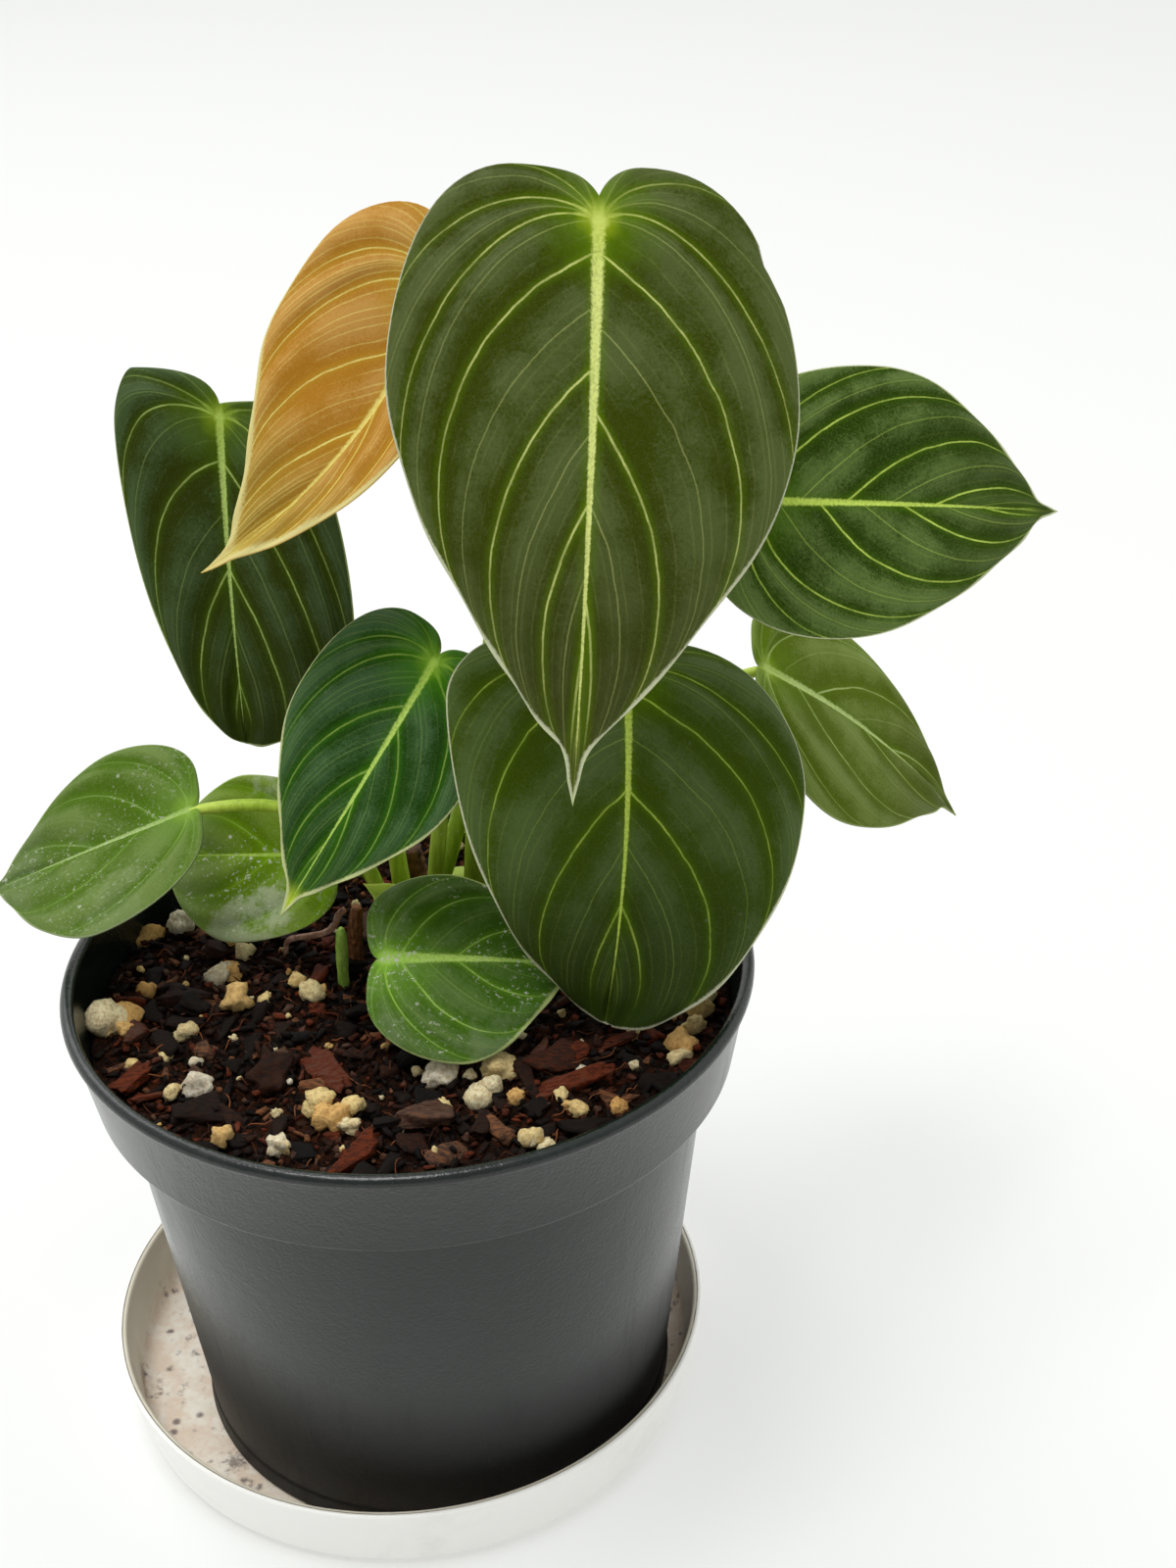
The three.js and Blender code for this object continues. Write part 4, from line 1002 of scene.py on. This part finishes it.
def leaf_finish(name, row):
    """Velvet leaf. Between the veins the colour goes in patches and fine grains from dark to a greyish
    painted sheen, strongest midway between the strong veins and near the margin, which also sets the
    coat. Towards the tip it goes to a darker, browner colour that is partly painted shadow of a leaf
    behind, with faint fine lines in it. The strong veins, the junction's star and the margin are pale,
    with green beside them, and round the junction the colour of the light through the blade is painted
    on as a glow. Specks, a thin film and a haze lie on top. Light passes through the blade, most where
    it is pale."""
    made, shader, place = finish(name, Specular_IOR_Level=0.05, Coat_Roughness=0.5, Coat_IOR=1.35)
    tint = Tint(*row)
    rank, pitch, mid, rim, hub, along, under, reach = (
        place.layer(key) for key in ("rank", "pitch", "mid", "rim", "hub", "along", "under", "reach"))
    patch = place.noise(70, 5, 0.6)
    pile = place.noise(3400, 3, 0.75)
    grain = place.noise(1900, 3, 0.7)
    wobble = 0.8 * (grain + pile) + 0.2
    drawn = rank + 0.08 * (place.noise(110, 2) - 0.5)
    from_main = drawn.math("PINGPONG", 0.5)
    main = from_main * pitch
    minor = (0.5 - from_main) * pitch
    fine = (drawn * 5).math("PINGPONG", 0.5) * pitch / 5
    # Painted sheen: a greyish colour laid midway between the strong veins, in patches and near the margin,
    # where the quilted velvet would reflect the bright room.
    phase = rank - rank.math("FLOOR")
    between = phase.step(0.04, 0.42) * phase.step(0.98, 0.56) * 0.7
    bloom = between + 2.8 * (patch - 0.5) + 0.4 * rim.step(5.0, 0.5)
    bloom = (bloom + 1.4 * (grain - 0.5)).step(0.0, 1.0)
    beside = main.step(1.5, 0.1) * (0.36 - 0.2 * reach) + mid.step(2.4, 0.4) * (0.5 - 0.35 * along)
    near = hub / (1 + 0.7 * (place.noise(420, 3) - 0.5))
    vigour = 0.65 + 0.5 * place.noise(160, 4, 0.7).step(0.4, 0.6)
    vigour = (rank.step(0.3, 2.0) * along.step(0.97, 0.7) * 0.7 + 0.3) * vigour
    width = (0.19 - 0.09 * reach + 0.3 * near.step(5.0, 1.0)) * wobble
    strong = (main / width).step(1.6, 0.4) * (1 - 0.6 * reach) * vigour
    weak = (minor / ((0.14 - 0.05 * reach) * wobble)).step(1.5, 0.3) * (0.3 - 0.16 * reach)
    net = (fine / (0.15 * wobble)).step(1.5, 0.2) * (patch.step(0.3, 0.7) * tint.net)
    lines = (strong.math("MAXIMUM", weak) * tint.lines).math("MAXIMUM", net)
    rib = (mid / ((0.08 + 0.95 * (1 - along) ** 1.5) * tint.rib * wobble)).step(1.4, 0.6)
    rib = rib * (0.72 + 0.36 * grain.step(0.38, 0.6)) * along.step(-0.05, 0.01)
    star = near.step(2.1 * tint.rib, 0.5 * tint.rib)
    veins = lines.math("MAXIMUM", rib).math("MAXIMUM", star)
    brim = 1 + tint.brim * along.step(0.1, 0.9)
    edge = (rim / (brim * (0.5 + grain))).step(0.26, 0.06) * along.step(-0.15, 0.2)
    specks = place.add("TexVoronoi", {"Vector": place, "Scale": 240.0}).step(0.13, 0.05) * 1.5
    film = place.noise(1200, 3, 0.7).step(0.58, 0.66) * 1.1
    haze = place.noise(42, 6, 0.75).step(0.5, 0.6) * tint.haze
    flecks = specks * place.noise(50, 2).step(0.42, 0.55) + film * (0.5 + 2 * beside)
    flecks = flecks * place.noise(60, 3).step(0.4, 0.6)
    grit = (haze + flecks * tint.dust) * (1 - under)
    base = coated(
        # From the dark colour to the painted sheen.
        bloom.mix(tint.dark, tint.bloom),
        # Partly painted shadow: towards the tip the colour goes darker and browner, partly the leaf's own
        # colour and partly the shade where a leaf behind keeps light from coming through the blade.
        (along.step(0.4, 0.85) * 0.85, tint.end),
        # Fine grains of painted sheen, and of the dark colour, over the velvet.
        (pile.step(0.48, 0.66) * 0.5, tint.bloom),
        (pile.step(0.5, 0.32) * 0.5, tint.dark),
        (beside, tint.green),
        (near.step(13.0, 1.0) * 0.8, tint.green),
        # Painted glow: round the junction the blade takes the colour of the light through the blade, as if
        # lit from behind.
        (near.step(4.6, 0.6) * 0.4, tint.light),
        # The veins near the junction carry the same painted glow.
        (veins, (near.step(11.0, 1.0) * 0.42).mix(tint.vein, tint.light)),
        (along.step(0.86, 0.95) * 0.8, tint.tip),
        (edge, tint.edge),
        ((1 - veins) * under * 0.85, tint.under),
        (grit, (206, 208, 190)))
    wire(shader, base, 0.55 + 0.25 * patch - 0.1 * veins, 0.5 * pile - 0.7 * lines, 0.00014)
    links = place.tree.links
    links.new((bloom * 0.28 * (0.5 + pile)).link, shader.inputs["Coat Weight"])
    passing = tint.through * (1 + 0.6 * beside) + 0.06 * veins + 0.3 * edge
    glass = place.add("BsdfTranslucent", {"Color": colour(tint.light)})
    both = place.add("MixShader", {"Fac": passing, 2: glass})
    links.new(shader.outputs[0], both.link.node.inputs[1])
    links.new(both.link, place.tree.nodes["Material Output"].inputs["Surface"])
    return made


for name, leaf in LEAVES.items():
    large = leaf.length > 45
    mesh = blade_mesh("blade_" + name, leaf, 112 if large else 80, 40 if large else 24)
    place_piece(mesh, leaf_finish("velvet_" + name, TINTS[leaf.tint]), "leaf_" + name, "leaf_" + name)


# The petioles: round fleshy green stalks, one to a leaf. Each stands upright in the soil, climbs
# in one curve, thins a little, and meets its blade from behind.
def petiole_path(leaf, steps):
    """A cubic Bézier curve from the soil to the blade: straight up at the foot, and at the top
    along the blade's normal and tangent, by the leaf's reach. Its first point lies in the soil."""
    base, bend, _ = leaf.rib
    way = unit(bend - base)
    normal, _ = rolled(way, leaf.roll)
    behind, before = leaf.reach
    end = base - normal * 0.5
    arrive = end - normal * behind - way * before
    foot = np.array([*leaf.foot, SOIL_TOP + 1.5])
    climb = foot + np.array([*leaf.lean, leaf.rise])
    curve = bezier([foot, climb, arrive, end], np.linspace(0, 1, steps))
    return np.concatenate([[foot - [0, 0, 12]], [foot - [0, 0, 4]], curve])


def petiole_mesh(name, leaf, steps=64, sides=24):
    """The stalk's skin: its radius falls by a third from foot to blade, flares at the foot, and narrows by a
    quarter just below the blade.
    """
    path = petiole_path(leaf, steps)
    k = np.clip(np.linspace(-2 / steps, 1, len(path)), 0, 1)
    radii = leaf.stalk * (1.15 - 0.4 * k + 0.2 * np.exp(-((k / 0.05) ** 2)))
    radii = radii * np.where(k > 0.97, 1 - 0.25 * (k - 0.97) / 0.03, 1)
    skin = tube(path, radii, sides, 0.012, 4)
    layer = np.broadcast_to(np.concatenate([[0], k, [1]])[:, None], skin.shape[:2]).reshape(-1)
    return make_mesh(name, skin, grid_quads(len(skin), sides, wrap=True), height=layer)


def petiole_finish():
    """Yellow-green skin, paler at the top, streaked and dotted, reddish brown at the foot."""
    made, shader, place = finish("petiole_skin", Specular_IOR_Level=0.45, Roughness=0.45)
    height = place.layer("height")
    streak = place.stretched(1, 1, 0.12).noise(900, 4, 0.6)
    base = coated(
        streak.step(0.36, 0.66).mix((150, 182, 30), (176, 204, 60)),
        (height.step(0.8, 1.0) * 0.7, (206, 226, 90)),
        (place.noise(2100, 2).step(0.64, 0.7) * 0.4, (214, 224, 170)),
        (height.step(0.12, 0.0) * place.noise(300, 3).step(0.4, 0.6) * 0.6, (120, 78, 50)))
    wire(shader, base, 0.42 + 0.2 * streak, streak, 0.00008)
    return made


petiole_skin = petiole_finish()
for name, leaf in LEAVES.items():
    place_piece(petiole_mesh("stalk_" + name, leaf), petiole_skin, "petiole", "petiole_" + name)


# The sheath leaf: a small pale cataphyll that once wrapped a new leaf, on a short stalk, curling
# away from the crown.
SHEATH = Leaf(
    base=(5.5, 6, 106), tip=(-3, 2.5, 115.5), arch=2.2, sweep=0, roll=-60, twist=0, fold=(24, 24),
    droop=0.05, half=(3.4, 3.4), widest=(0.4, 0.4), lobe=(0.8, 0.8), shoulder=(0.45, 0.45), sinus=0.4,
    point=(0.6, 0.6), neck=0.1, veins=(5, 5), foot=(7.5, 6.3), rise=4, reach=(3, 1), stalk=0.9)
sheath_skin = leaf_finish("sheath_skin", TINTS["lime"])
place_piece(blade_mesh("sheath_blade", SHEATH, 48, 18), sheath_skin, "cataphyll", "cataphyll")
place_piece(petiole_mesh("sheath_stalk", SHEATH, 30, 18), petiole_skin, "petiole", "cataphyll_stalk")
